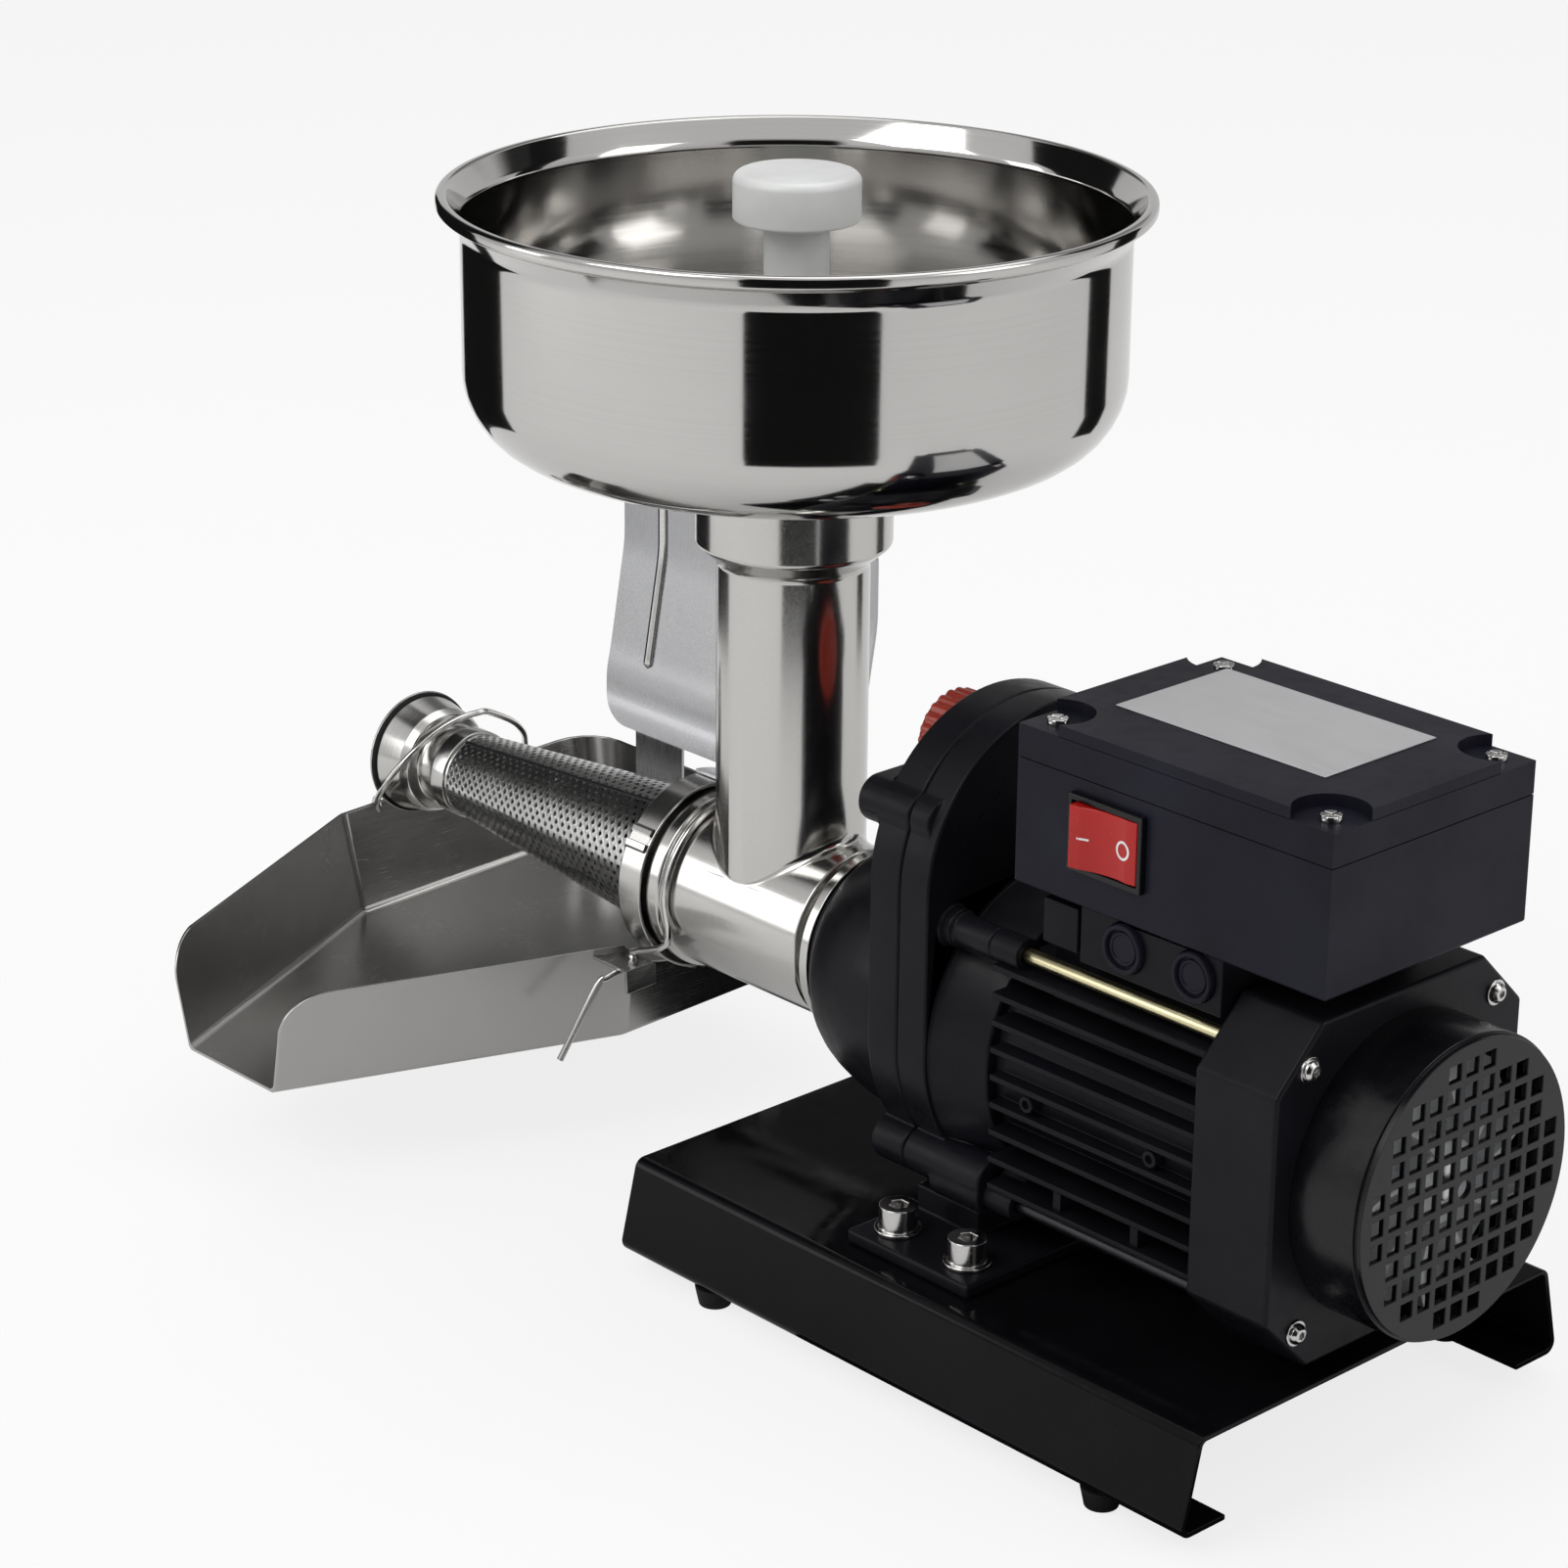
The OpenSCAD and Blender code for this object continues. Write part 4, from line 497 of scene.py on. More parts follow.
# Lid: a full plate, and a raised plate with a hollow at each corner for its screw
BOX_X0, BOX_X1, BOX_Y = 10.0, 138.0, 47.0
HOLLOW_R, SCREW_IN = 12.0, 8.5
lid = prism([(BOX_X0, -BOX_Y), (BOX_X1, -BOX_Y), (BOX_X1, BOX_Y), (BOX_X0, BOX_Y)], LID_Z - 0.6, LID_STEP + 0.2, "XY")


def on_lid_edge(e):
    low, high = sorted(v.co.z for v in e.verts)
    return low > (LID_STEP - 1) * MM or high - low > 1e-4


bevel(lid, 0.5, 3, 30.0, on_lid_edge)
half_arc = math.atan2(math.sqrt(HOLLOW_R ** 2 - SCREW_IN ** 2), -SCREW_IN) - math.pi / 4
outline = []
for x, y, sx, sy in ((BOX_X0, -BOX_Y, 1, 1), (BOX_X1, -BOX_Y, -1, 1), (BOX_X1, BOX_Y, -1, -1), (BOX_X0, BOX_Y, 1, -1)):
    for k in range(21):
        a = math.atan2(sy, sx) + half_arc * (1 - k / 10)
        outline.append((x + sx * SCREW_IN + HOLLOW_R * math.cos(a), y + sy * SCREW_IN + HOLLOW_R * math.sin(a)))
raised = prism(outline, LID_STEP, LID_TOP, "XY")
bevel(raised, 1.3, 4, 50.0, lambda e: all(v.co.z > (LID_TOP - 1) * MM for v in e.verts))
merge(lid, raised)
piece("box_lid_shell", lid, "box_black", BODY_OF["box_lid"], ["box_lid"], sharp=40, weighted=True)

# Knockouts: a raised collar with a disc set in it
KNOCK_Z, PAD_Y = 166.5, 46.0
knock_outline = rounded([
    (0, -1.6), (8.1, -1.6), (8.1, 2.2, 0.8), (6.5, 2.2, 0.5), (6.2, 0.5), (5.7, 0.5), (5.4, 1.3, 0.4), (4.6, 1.3, 0.2),
    (4.3, 0.9), (0, 0.9)], 3)
for at, (x, side) in enumerate(((57.0, -1), (86.0, -1), (86.0, 1))):
    knock = lathe(knock_outline, (0, 0, 0), "Z", 64)
    knock.transform(Matrix.Translation(Vector((x, side * PAD_Y, KNOCK_Z)) * MM)
                    @ Matrix.Rotation(math.radians(-90 * side), 4, "X"))
    piece(f"knockout_{at}", knock, SLOT_OF["knockout_plugs"], BODY_OF["knockout_plugs"], ["knockout_plugs"], sharp=30)

# Small bosses and webs cast between the motor's fins
BOSS_Z = 101.2
boss_outline = rounded([(0, 40), (2.9, 40), (2.9, 49.2, 0.5), (1.5, 49.2, 0.2), (1.4, 47.6), (0, 47.4)], 3)
studs = bmesh.new()
for side in (-1, 1):
    for x in (19.6, 73.1):
        boss = lathe(boss_outline, (0, 0, 0), "Z", 32)
        boss.transform(Matrix.Translation(Vector((x, 0, BOSS_Z)) * MM)
                       @ Matrix.Rotation(math.radians(-90 * side), 4, "X"))
        merge(studs, boss)
    for x in (33.8, 67.3):
        web = [(x - 1.6, 68), (x + 1.6, 68), (x + 1.6, 77), (x - 1.6, 77)]
        merge(studs, bevel(prism(web, side * 30, side * 48.2, "XZ"), 0.5))
piece("fin_studs", studs, SLOT_OF["motor_frame"], BODY_OF["motor_frame"])

# Tie rods: plated ones above, and below the same rods in dark steel as painted shade for where they sit under the
# motor, each with a washer and a domed head
ROD_LOW, ROD_HIGH, ROD_Y = 62, 150, 44
CASE_X1, BELL_X1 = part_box("tie_bolts")[0][0] / MM, 131.0
rod_outline = rounded([(0, CASE_X1), (2.5, CASE_X1, 0.4), (2.5, BELL_X1 + 0.5), (0, BELL_X1 + 0.5)], 2)
# The lower pair's dark steel is painted shade: the same plated rods, made dark because they sit in the motor's shadow.
for name, mat, z in (("tie_rods_upper", "yellow_zinc", ROD_HIGH), ("tie_rods_lower", "dark_steel", ROD_LOW)):
    rods = bmesh.new()
    for y in (-ROD_Y, ROD_Y):
        lathe(rod_outline, (0, y, z), "X", 32, rods)
    piece(name, rods, mat, BODY_OF["tie_bolts"], ["tie_bolts"])
head_outline = rounded([(r, BELL_X1 + x, *more) for r, x, *more in (
    (0, -0.2), (4.3, -0.2), (4.3, 0.7, 0.25), (3.4, 0.7), (3.3, 1.6, 0.8), (2.2, 2.75, 0.9), (1.35, 2.9, 0.15),
    (1.25, 1.5), (0, 1.3))], 4)
heads = bmesh.new()
for y in (-ROD_Y, ROD_Y):
    for z in (ROD_LOW, ROD_HIGH):
        lathe(head_outline, (0, y, z), "X", 48, heads,
              wave=lambda r, a: -0.12 * (1 + math.cos(6 * a)) if r < 1.4 else 0.0)
piece("tie_rod_heads", heads, "bright_steel", BODY_OF["tie_bolts"], ["tie_bolts"])

# Fan: a hub, a back plate and blades that lean and curve
BLADES, BLADE_STEPS, BLADE_IN, BLADE_LONG = 9, 10, 13.4, 27.2
fan = lathe(rounded([(6.1, 139), (42, 139, 0.3), (42, 141, 0.3), (14, 141, 1), (14, 151, 1), (6.1, 151)], 3),
            (0, 0, AXIS), "X", 96)
for k in range(BLADES):
    for i in range(BLADE_STEPS):
        r0, r1 = (BLADE_IN + BLADE_LONG * step / BLADE_STEPS for step in (i, i + 1))
        corners = []
        for r, x in ((r0, 140.5), (r1, 140.5), (r1, 152.5 - 0.02 * r1), (r0, 152.5 - 0.02 * r0)):
            a = 2 * math.pi * k / BLADES + 0.35 * (r / 41) ** 2
            for t in (-0.8, 0.8):
                y, z = r * math.cos(a) - t * math.sin(a), r * math.sin(a) + t * math.cos(a)
                corners.append(fan.verts.new(Vector((x, y, AXIS + z)) * MM))
        p0, q0, p1, q1, p2, q2, p3, q3 = corners
        faces = [(p0, p1, p2, p3), (q3, q2, q1, q0), (p3, p2, q2, q3), (q0, q1, p1, p0)]
        if i == 0:
            faces.append((p0, p3, q3, q0))
        if i == BLADE_STEPS - 1:
            faces.append((p1, q1, q2, p2))
        for f in faces:
            fan.faces.new(f)
bmesh.ops.remove_doubles(fan, verts=fan.verts, dist=2e-6)
piece("fan_wheel", fan, "grey_plastic", BODY_OF["cooling_fan"], ["cooling_fan"], sharp=40)

# Splash guard: a pressed sheet with a crease and two beads, a neck behind the cone and a clip over the ring nut
GUARD_X0, GUARD_X1, GUARD_Z0, GUARD_Z1, GUARD_R = -282.0, -147.0, 132.0, 236.0, 14.0
FOOT_Y, TOP_Y, BEND_Z, EASE = 31.0, 43.0, 200.0, 5.0
SLOPE = (TOP_Y - FOOT_Y) / (BEND_Z - GUARD_Z0)
NECK_X, NECK_WIDE = -262.2, 26.0
CLIP_X0, CLIP_X1, CLIP_R = -197.0, -185.2, 35.9
BEAD_Z0, BEAD_Z1, BEAD_X, BEAD_STEPS = 156.0, 223.0, 45.5, 48


def sheet_y(z):
    """Where the middle of the sheet lies at a height, with its bend eased."""
    y = TOP_Y if z > BEND_Z else FOOT_Y + SLOPE * (z - GUARD_Z0)
    if abs(z - BEND_Z) < EASE:
        y = TOP_Y - SLOPE * (BEND_Z + EASE - z) ** 2 / (4 * EASE)
    return y + 0.55 * math.exp(-((z - 143.5) / 4.2) ** 2) - 0.35 * math.exp(-((z - 152) / 6.0) ** 2)


def sheet_mesh(rows, across, thick):
    """A thin sheet from rows of (left x, right x, y, z), square to its line."""
    bm = bmesh.new()
    skins = []
    for side in (-0.5, 0.5):
        skin_rows = []
        for i, (x0, x1, y, z) in enumerate(rows):
            a, b = rows[max(i - 1, 0)], rows[min(i + 1, len(rows) - 1)]
            along = Vector((b[2] - a[2], b[3] - a[3])).normalized()
            n = Vector((-along.y, along.x)) * side * thick
            skin_rows.append([bm.verts.new(Vector((x0 + (x1 - x0) * k / across, y + n.x, z + n.y)) * MM)
                              for k in range(across + 1)])
        skins.append(skin_rows)
    lo, hi = skins
    last = len(rows) - 1
    for i in range(last):
        for k in range(across):
            bm.faces.new((lo[i][k], lo[i][k + 1], lo[i + 1][k + 1], lo[i + 1][k]))
            bm.faces.new((hi[i][k], hi[i + 1][k], hi[i + 1][k + 1], hi[i][k + 1]))
        for k in (0, across):
            bm.faces.new((lo[i][k], lo[i + 1][k], hi[i + 1][k], hi[i][k]))
    for i in (0, last):
        for k in range(across):
            bm.faces.new((lo[i][k], hi[i][k], hi[i][k + 1], lo[i][k + 1]))
    return bm


corner = [GUARD_R * (1 - math.cos(math.radians(7.5 * k))) for k in range(13)]
levels = [GUARD_Z0 + d for d in corner]
levels += [GUARD_Z0 + GUARD_R + (GUARD_Z1 - GUARD_Z0 - 2 * GUARD_R) * k / 40 for k in range(1, 40)]
levels += [GUARD_Z1 - d for d in reversed(corner)]
rows = []
for z in levels:
    d = max(0.0, GUARD_Z0 + GUARD_R - z, z - GUARD_Z1 + GUARD_R)
    inset = GUARD_R - math.sqrt(max(0.0, GUARD_R * GUARD_R - d * d))
    rows.append((GUARD_X0 + inset, GUARD_X1 - inset, sheet_y(z), z))
neck = []
for z in range(112, 140):
    t = max(0.0, (z - 130) / 9)
    neck.append((NECK_X - 5 * t ** 3, NECK_X + NECK_WIDE + 9 * t ** 3, FOOT_Y if z < GUARD_Z0 else sheet_y(z), z))
clip = []
for k in range(15):
    a = math.radians(86 - 50 * k / 14)
    clip.append((CLIP_X0, CLIP_X1, CLIP_R * math.cos(a), AXIS + CLIP_R * math.sin(a)))
end_y, end_z = clip[-1][2:]
for k in range(1, 11):
    t = k / 10
    clip.append((CLIP_X0 - 12 * t ** 3, CLIP_X1 + 8 * t ** 3,
                 end_y + (sheet_y(139) - end_y) * t, end_z + (139 - end_z) * t))
for name, bm in (("guard_sheet", sheet_mesh(rows, 72, 1.2)), ("guard_neck", sheet_mesh(neck, 30, 1.1)),
                 ("guard_clip", sheet_mesh(clip, 30, 1.1))):
    piece(name, bm, "satin_sheet", BODY_OF["splash_guard"], ["splash_guard"], sharp=45)
bead = bmesh.new()
for x in ((GUARD_X0 + GUARD_X1) / 2 - BEAD_X, (GUARD_X0 + GUARD_X1) / 2 + BEAD_X):
    stations = [BEAD_Z0 + (BEAD_Z1 - BEAD_Z0) * k / BEAD_STEPS for k in range(BEAD_STEPS + 1)]
    loops = []
    for i, z in enumerate(stations):
        z0, z1 = stations[max(i - 1, 0)], stations[min(i + 1, BEAD_STEPS)]
        along = Vector((0, sheet_y(z1) - sheet_y(z0), z1 - z0)).normalized()
        out = Vector((0, -along.z, along.y))
        end_in = min(z - BEAD_Z0, BEAD_Z1 - z, 2.4) / 2.4
        size = max(0.02, math.sqrt(max(0.0, 1 - (1 - end_in) ** 2)))
        mid = Vector((x, sheet_y(z), z)) + out * 0.5
        turns = [math.pi * j / 12 for j in range(13)]
        ring = [mid + Vector((2.3 * size * math.cos(a), 0, 0)) + out * 1.9 * size * math.sin(a) for a in turns]
        loops.append([bead.verts.new(q * MM) for q in ring])
    for a, b in zip(loops, loops[1:]):
        for j in range(12):
            bead.faces.new((a[j], a[j + 1], b[j + 1], b[j]))
        bead.faces.new((a[12], a[0], b[0], b[12]))
    bead.faces.new(loops[0])
    bead.faces.new(list(reversed(loops[-1])))
piece("guard_beads", bead, "bright_steel", BODY_OF["splash_guard"], ["splash_guard"], sharp=60)

# Hopper: a spun bowl with a rolled rim
hopper_outline = rounded([
    (27, 244.1), (30.7, 244.1, 0.8), (30.7, 276, 3), (112, 276, 27), (112, 351, 6), (117.2, 357.6, 1.6),
    (120, 359.0, 1.3), (120, 363, 1.8), (116.6, 363, 1.6), (110.8, 354.6, 6), (110.8, 277.2, 25.8), (27, 277.2, 3)], 9)
piece("hopper_shell", lathe(hopper_outline, (TUBE_X, 0, 0), "Z", 192), "mirror_steel", "hopper_bowl", ["hopper"])

# Pusher
pusher_outline = rounded([
    (0, 132.3), (22.6, 132.3, 2), (22.6, 162.3, 1.5), (11, 165.3, 1.5), (11, 350.3, 1), (21.5, 353.3, 1.2),
    (21.5, 369.3, 3.2), (0, 369.3)], 6)
piece("pusher_shell", lathe(pusher_outline, (TUBE_X, 0, 0), "Z", 96), "clear_white", "pusher_rod", ["pusher"])

# Press body: barrel, feed tube and cup in one casting
barrel = lathe(rounded([
    (0, -190), (32.6, -190, 0.8), (32.6, -178.6, 1.0), (31, -177.6, 0.9), (31, -109, 1), (28, -108, 0.5), (28, -104),
    (33.4, -104, 0.6), (33.4, -100, 0.4), (24, -100), (24, -83), (0, -83)], 4), (0, 0, AXIS), "X", 144)
body = piece("press_shell", barrel, "polished_cast", "machine", ["press_body"])
feed = lathe(rounded([(0, 106), (26.4, 106), (26.4, 235.2, 4), (34, 241.6, 2.5), (34, 272, 0.8), (0, 272)], 5),
             (TUBE_X, 0, 0), "Z", 144)
cut_with(body, [feed], "UNION")
cut_with(body, [
    lathe([(0, 100), (23.4, 100), (23.4, 243), (31, 244.02), (31, 275), (0, 275)], (TUBE_X, 0, 0), "Z", 144),
    lathe([(0, -193), (27, -193), (27, -109), (0, -109)], (0, 0, AXIS), "X", 144),
    lathe([(0, -110), (12.5, -110), (12.5, -82), (0, -82)], (0, 0, AXIS), "X", 96)])
shade_again(body)

# The fillet where the feed tube grows out of the barrel, as a ball rolling between the two rounds leaves it
BALL, FEED_R, BARREL_R = 3.4, 26.4, 31.0
FILLET_AROUND, FILLET_STEPS = 180, 10
fillet = bmesh.new()
rings = []
for k in range(FILLET_AROUND):
    a = 2 * math.pi * k / FILLET_AROUND
    radial = Vector((math.cos(a), math.sin(a), 0))
    ball = Vector((TUBE_X, 0, 0)) + radial * (FEED_R + BALL)
    ball.z = AXIS + math.sqrt((BARREL_R + BALL) ** 2 - ball.y ** 2)
    u = -radial
    v = -Vector((0, ball.y, ball.z - AXIS)).normalized()
    bend = u.angle(v)
    line = []
    for i in range(FILLET_STEPS + 1):
        t = i / FILLET_STEPS
        d = (math.sin((1 - t) * bend) * u + math.sin(t * bend) * v) / math.sin(bend)
        line.append(ball + d * (BALL - 0.015))
    inner = ball + (u + v).normalized() * (BALL + 1.6)
    rings.append([fillet.verts.new(q * MM) for q in line + [inner]])
for i in range(FILLET_AROUND):
    a, b = rings[i], rings[(i + 1) % FILLET_AROUND]
    for k in range(len(a)):
        j = (k + 1) % len(a)
        fillet.faces.new((a[k], a[j], b[j], b[k]))
piece("press_fillet", fillet, "polished_cast", "machine", sharp=60)

# Strainer: flange, rolled seam bands and the perforated cone
CONE0, CONE1, BIG, SMALL, WALL = -195.0, -325.0, 27.0, 15.5, 1.2
STATIONS, AROUND, HOLE_R = 60, 28, 0.92
HOLES0, HOLES1 = -198.0, -318.0
STEP = (HOLES0 - HOLES1) / STATIONS


def cone_r(x):
    return BIG + (SMALL - BIG) * (CONE0 - x) / (CONE0 - CONE1)


cone = bmesh.new()


def skin(x, a, inward):
    r = cone_r(x) - inward
    return cone.verts.new(Vector((x, r * math.cos(a), AXIS + r * math.sin(a))) * MM)


grid = {}


def corner_of(i, k, inward):
    """The point between holes, shared by the cells that meet there."""
    key = (i, k % (2 * AROUND), inward)
    if key not in grid:
        grid[key] = skin(HOLES0 - i * STEP / 2, math.pi * k / AROUND, inward)
    return grid[key]


# Each cell's corners as steps along and round the cone, with the bearing of the hole's corner beside it
EIGHT = [(0, 0, 135), (0, 1, 90), (0, 2, 45), (1, 2, 0), (2, 2, -45), (2, 1, -90), (2, 0, -135), (1, 0, 180)]
for row in range(STATIONS):
    for col in range(AROUND):
        k0 = 2 * col + row % 2
        xm = HOLES0 - (row + 0.5) * STEP
        am = math.pi * (k0 + 1) / AROUND
        layers = []
        for inward in (0.0, WALL):
            edge = [corner_of(2 * row + di, k0 + dk, inward) for di, dk, turn in EIGHT]
            turns = [math.radians(turn) for di, dk, turn in EIGHT]
            hole = [skin(xm + HOLE_R * math.sin(t), am + HOLE_R * math.cos(t) / cone_r(xm), inward) for t in turns]
            for i in range(8):
                j = (i + 1) % 8
                cone.faces.new((edge[i], edge[j], hole[j], hole[i]))
            layers.append(hole)
        for i in range(8):
            j = (i + 1) % 8
            cone.faces.new((layers[0][i], layers[0][j], layers[1][j], layers[1][i]))
for i in (0, 2 * STATIONS):
    for k in range(2 * AROUND):
        cone.faces.new((corner_of(i, k, 0.0), corner_of(i, k + 1, 0.0),
                        corner_of(i, k + 1, WALL), corner_of(i, k, WALL)))
piece("strainer_mesh", cone, "perforated_steel", "strainer_set", ["strainer"], sharp=50)
bands = lathe(rounded([
    (25.8, -190.1), (32.3, -190.1, 0.4), (32.3, -194.1, 0.4), (27.3, -194.3, 0.4), (27.05, -198.4, 0.3),
    (25.0, -198.4), (25.8, -194.1)], 3), (0, 0, AXIS), "X", 96)
lathe(rounded([(15.9, -317.8), (16.3, -317.8, 0.2), (15.9, -324.8, 0.2), (14.4, -324.8), (14.9, -317.8)], 3),
      (0, 0, AXIS), "X", 96, bands)
piece("strainer_band", bands, "satin_steel", "strainer_set", ["strainer"])

# The sheet's lap seam along the cone
SEAM_AT = math.radians(112)
seam = bmesh.new()
loops = []
for k in range(41):
    x = HOLES0 + (HOLES1 - HOLES0) * k / 40
    r = cone_r(x)
    loop = []
    for w, h in ((-0.5, -0.3), (-0.5, 0.28), (0.5, 0.28), (0.62, -0.3)):
        a = SEAM_AT + w / r
        loop.append(seam.verts.new(Vector((x, (r + h) * math.cos(a), AXIS + (r + h) * math.sin(a))) * MM))
    loops.append(loop)
for a, b in zip(loops, loops[1:]):
    for k in range(4):
        j = (k + 1) % 4
        seam.faces.new((a[k], a[j], b[j], b[k]))
seam.faces.new(loops[0])
seam.faces.new(list(reversed(loops[-1])))
piece("strainer_seam", seam, "dark_steel", "strainer_set", ["strainer"])

# Ring nut and waste nozzle
RING_R = 35.0
nut_outline = rounded([
    (28, -197.2), (34, -197.2, 1.2), (RING_R, -196.2, 0.8), (RING_R, -185.2, 0.5), (34.1, -185.2, 0.3),
    (34.1, -189.4, 0.6), (32.72, -189.9), (32.72, -194.2), (28, -194.2)], 4)
lug_outline = rounded([
    (-5.0, -0.9), (5.0, -0.9), (4.2, 0.7, 1.2), (1.5, 1.0, 0.3), (1.5, 0.1), (-1.5, 0.1), (-1.5, 1.0, 0.3),
    (-4.2, 0.7, 1.2)], 3)
nut = lathe(nut_outline, (0, 0, AXIS), "X", 144)
for deg in (146, 38, 262):
    a = math.radians(deg)
    lug = bevel(prism(lug_outline, -196.0, -186.4, "YZ"), 0.4, 2, 50.0)
    lug.transform(Matrix.Translation(Vector((0, RING_R * math.cos(a), AXIS + RING_R * math.sin(a))) * MM)
                  @ Matrix.Rotation(a - math.pi / 2, 4, "X"))
    merge(nut, lug)
piece("strainer_ring_shell", nut, "satin_steel", "strainer_set", ["strainer_ring"], weighted=True)
nozzle_outline = rounded([
    (15.6, -319.1), (17.0, -319.1, 0.5), (17.0, -326.4, 1.4), (15.1, -329.1, 1.2), (15.1, -336.4, 1.6),
    (18.9, -337.6, 1.5), (20.47, -341.0, 2.6), (21.3, -346.5, 6), (22.6, -352.4, 0.4), (22.8, -353.9),
    (23.8, -354.0, 0.3), (23.8, -355, 0.35), (22.4, -355, 0.4), (21.2, -351.6, 0.8), (19.6, -345.6, 3),
    (18.87, -341.6, 1.8), (17.3, -339.2, 1.5), (13.0, -338.7, 0.8), (13.0, -325.1), (15.6, -325.1)], 5)
piece("waste_nozzle_shell", lathe(nozzle_outline, (0, 0, AXIS), "X", 144), "satin_steel", "strainer_set",
      ["waste_nozzle"])
seal_outline = rounded([
    (21.9, -352.0), (22.9, -352.1, 0.4), (23.5, -352.8, 0.4), (23.5, -353.95, 0.3), (22.4, -353.95)], 3)
piece("nozzle_seal", lathe(seal_outline, (0, 0, AXIS), "X", 144), "black_rubber", "strainer_set")

# Chute: folds with a sheet-metal radius, thin rounded rims
chute = clean_copy("chute", 0.3)


def is_fold(e):
    f, g = e.link_faces
    return min(f.calc_area(), g.calc_area()) > 6e-4 and e.calc_length() > 0.02


bevel(chute, 2.2, 4, 20.0, is_fold)
bevel(chute, 0.3, 2, 40.0, lambda e: e.calc_length() > 0.0015)
piece("chute_sheet", chute, "brushed_sheet", "juice_chute", ["chute"], weighted=True)

# Wire bails
WIRE_R, FOLD_Y = 1.25, 23.0
BAIL_X, BAIL_R, TAB_X, TAB_Y = -174.0, 32.55, -193.5, 30.5
ARCH_X, ARCH_OUT, ARCH_Y, ARCH_Z, ARCH_R = -334.0, 37.5, 10.0, 76.0, 48.17
OUT_X, OUT_Y0, OUT_Y1 = -373.05, -9, 66


def wall_top(y):
    """Height of the chute's rim, which slopes."""
    return 81.5 + (y + FOLD_Y) * math.sin(math.radians(2.2))


low, high = wall_top(-TAB_Y) - 0.7, wall_top(TAB_Y) + 0.4
near = [(-198.7, -60.6, 46.5), (-194.6, -46.5, 72.5), (TAB_X - 0.2, -43.5, 74.6), (TAB_X, -32.6, low - 3.4),
        (TAB_X, -TAB_Y, low - 1.6), (TAB_X, -TAB_Y, low + 1), (BAIL_X, -31.5, 91)]
near += [(BAIL_X, -BAIL_R * math.cos(math.pi * k / 24), AXIS + BAIL_R * math.sin(math.pi * k / 24)) for k in range(25)]
near += [(BAIL_X, 31.5, 91), (TAB_X, TAB_Y, high), (TAB_X, TAB_Y, high - 9)]
bails = tube(smooth_path(near, 4), WIRE_R)
first = 180 - math.degrees(math.asin(9 / ARCH_R))
far = [(OUT_X, OUT_Y0, wall_top(OUT_Y0) - 6), (OUT_X + 1.6, OUT_Y0, wall_top(OUT_Y0) + 1.55)]
for k in range(20):
    a = math.radians(first + (82 - first) * k / 19)
    q = 1 - math.sin(a)
    far.append((ARCH_X - ARCH_OUT * q * q, ARCH_Y + ARCH_R * math.cos(a) + (38 * q ** 3 if a > math.pi / 2 else 0.0),
                ARCH_Z + ARCH_R * math.sin(a)))
far += [(-337.6, 26, 118.9), (-345.5, 39.5, 110.8), (-356.5, 53, 100.6), (-366.5, 62.2, 92.0),
        (OUT_X + 1.6, OUT_Y1, wall_top(OUT_Y1) + 1.55), (OUT_X, OUT_Y1, wall_top(OUT_Y1) - 6)]
tube(smooth_path(far, 3), WIRE_R, 12, bails)
piece("bail_wires", bails, "bright_steel", "juice_chute", ["wire_bails"])

# Lock knob with a knurled rim
knob_outline = rounded([
    (0, -71), (14.5, -71, 1), (16.6, -69.4, 1), (16.6, -61.4, 1), (14.5, -60, 1), (9, -60, 0.6), (9, -52.3),
    (4, -52.3), (4, -44.3), (0, -44.3)], 4)
knob = lathe(knob_outline, (0, 4, 190), "X", 216,
             wave=lambda r, a: -0.9 * abs(math.cos(12 * a)) ** 3 if r > 14.6 else 0.0)
piece("lock_knob_shell", knob, "red_knob", "knob", ["lock_knob"])

# Rocker with its on and off marks
soften("switch_rocker", 0.5, 3)


def mark(bm, loops):
    """A flat mark laid just over the rocker's hollow front, from rows of (x, z) pairs."""
    rows = [[bm.verts.new(Vector((x, max(-4.8, math.sqrt(900 - x * x) - 33.4) - 0.06, z)) * MM) for x, z in row]
            for row in loops]
    for a, b in zip(rows, rows[1:]):
        for k in range(len(a) - 1):
            bm.faces.new((a[k], a[k + 1], b[k + 1], b[k]))


MARK_STEPS = 32
marks = bmesh.new()
mark(marks, [[(x, z) for x in (-9.6, -8.6, -7.6, -6.6, -5.6)] for z in (-0.34, 0.34)])
turns = [2 * math.pi * k / MARK_STEPS for k in range(MARK_STEPS + 1)]
mark(marks, [[(7.3 + r * math.cos(a), r * 1.15 * math.sin(a)) for a in turns] for r in (2.05, 2.75)])
bmesh.ops.remove_doubles(marks, verts=marks.verts, dist=1e-6)
raised = bmesh.ops.extrude_face_region(marks, geom=marks.faces[:])
for v in raised["geom"]:
    if isinstance(v, bmesh.types.BMVert):
        v.co.y += 0.12 * MM
marks.transform(Matrix.Translation(Vector((49.5, -46, 199.8)) * MM) @ Matrix.Rotation(math.radians(8), 4, "Z"))
piece("switch_marks", marks, "white_print", "rocker")

# Floor, lights and camera

def staged(name, bm, mat):
    """A mesh that belongs to the studio and not to the object."""
    mesh = bpy.data.meshes.new(name)
    bm.to_mesh(mesh)
    bm.free()
    mesh.materials.append(mat)
    obj = bpy.data.objects.new(name, mesh)
    bpy.context.scene.collection.objects.link(obj)
    return obj


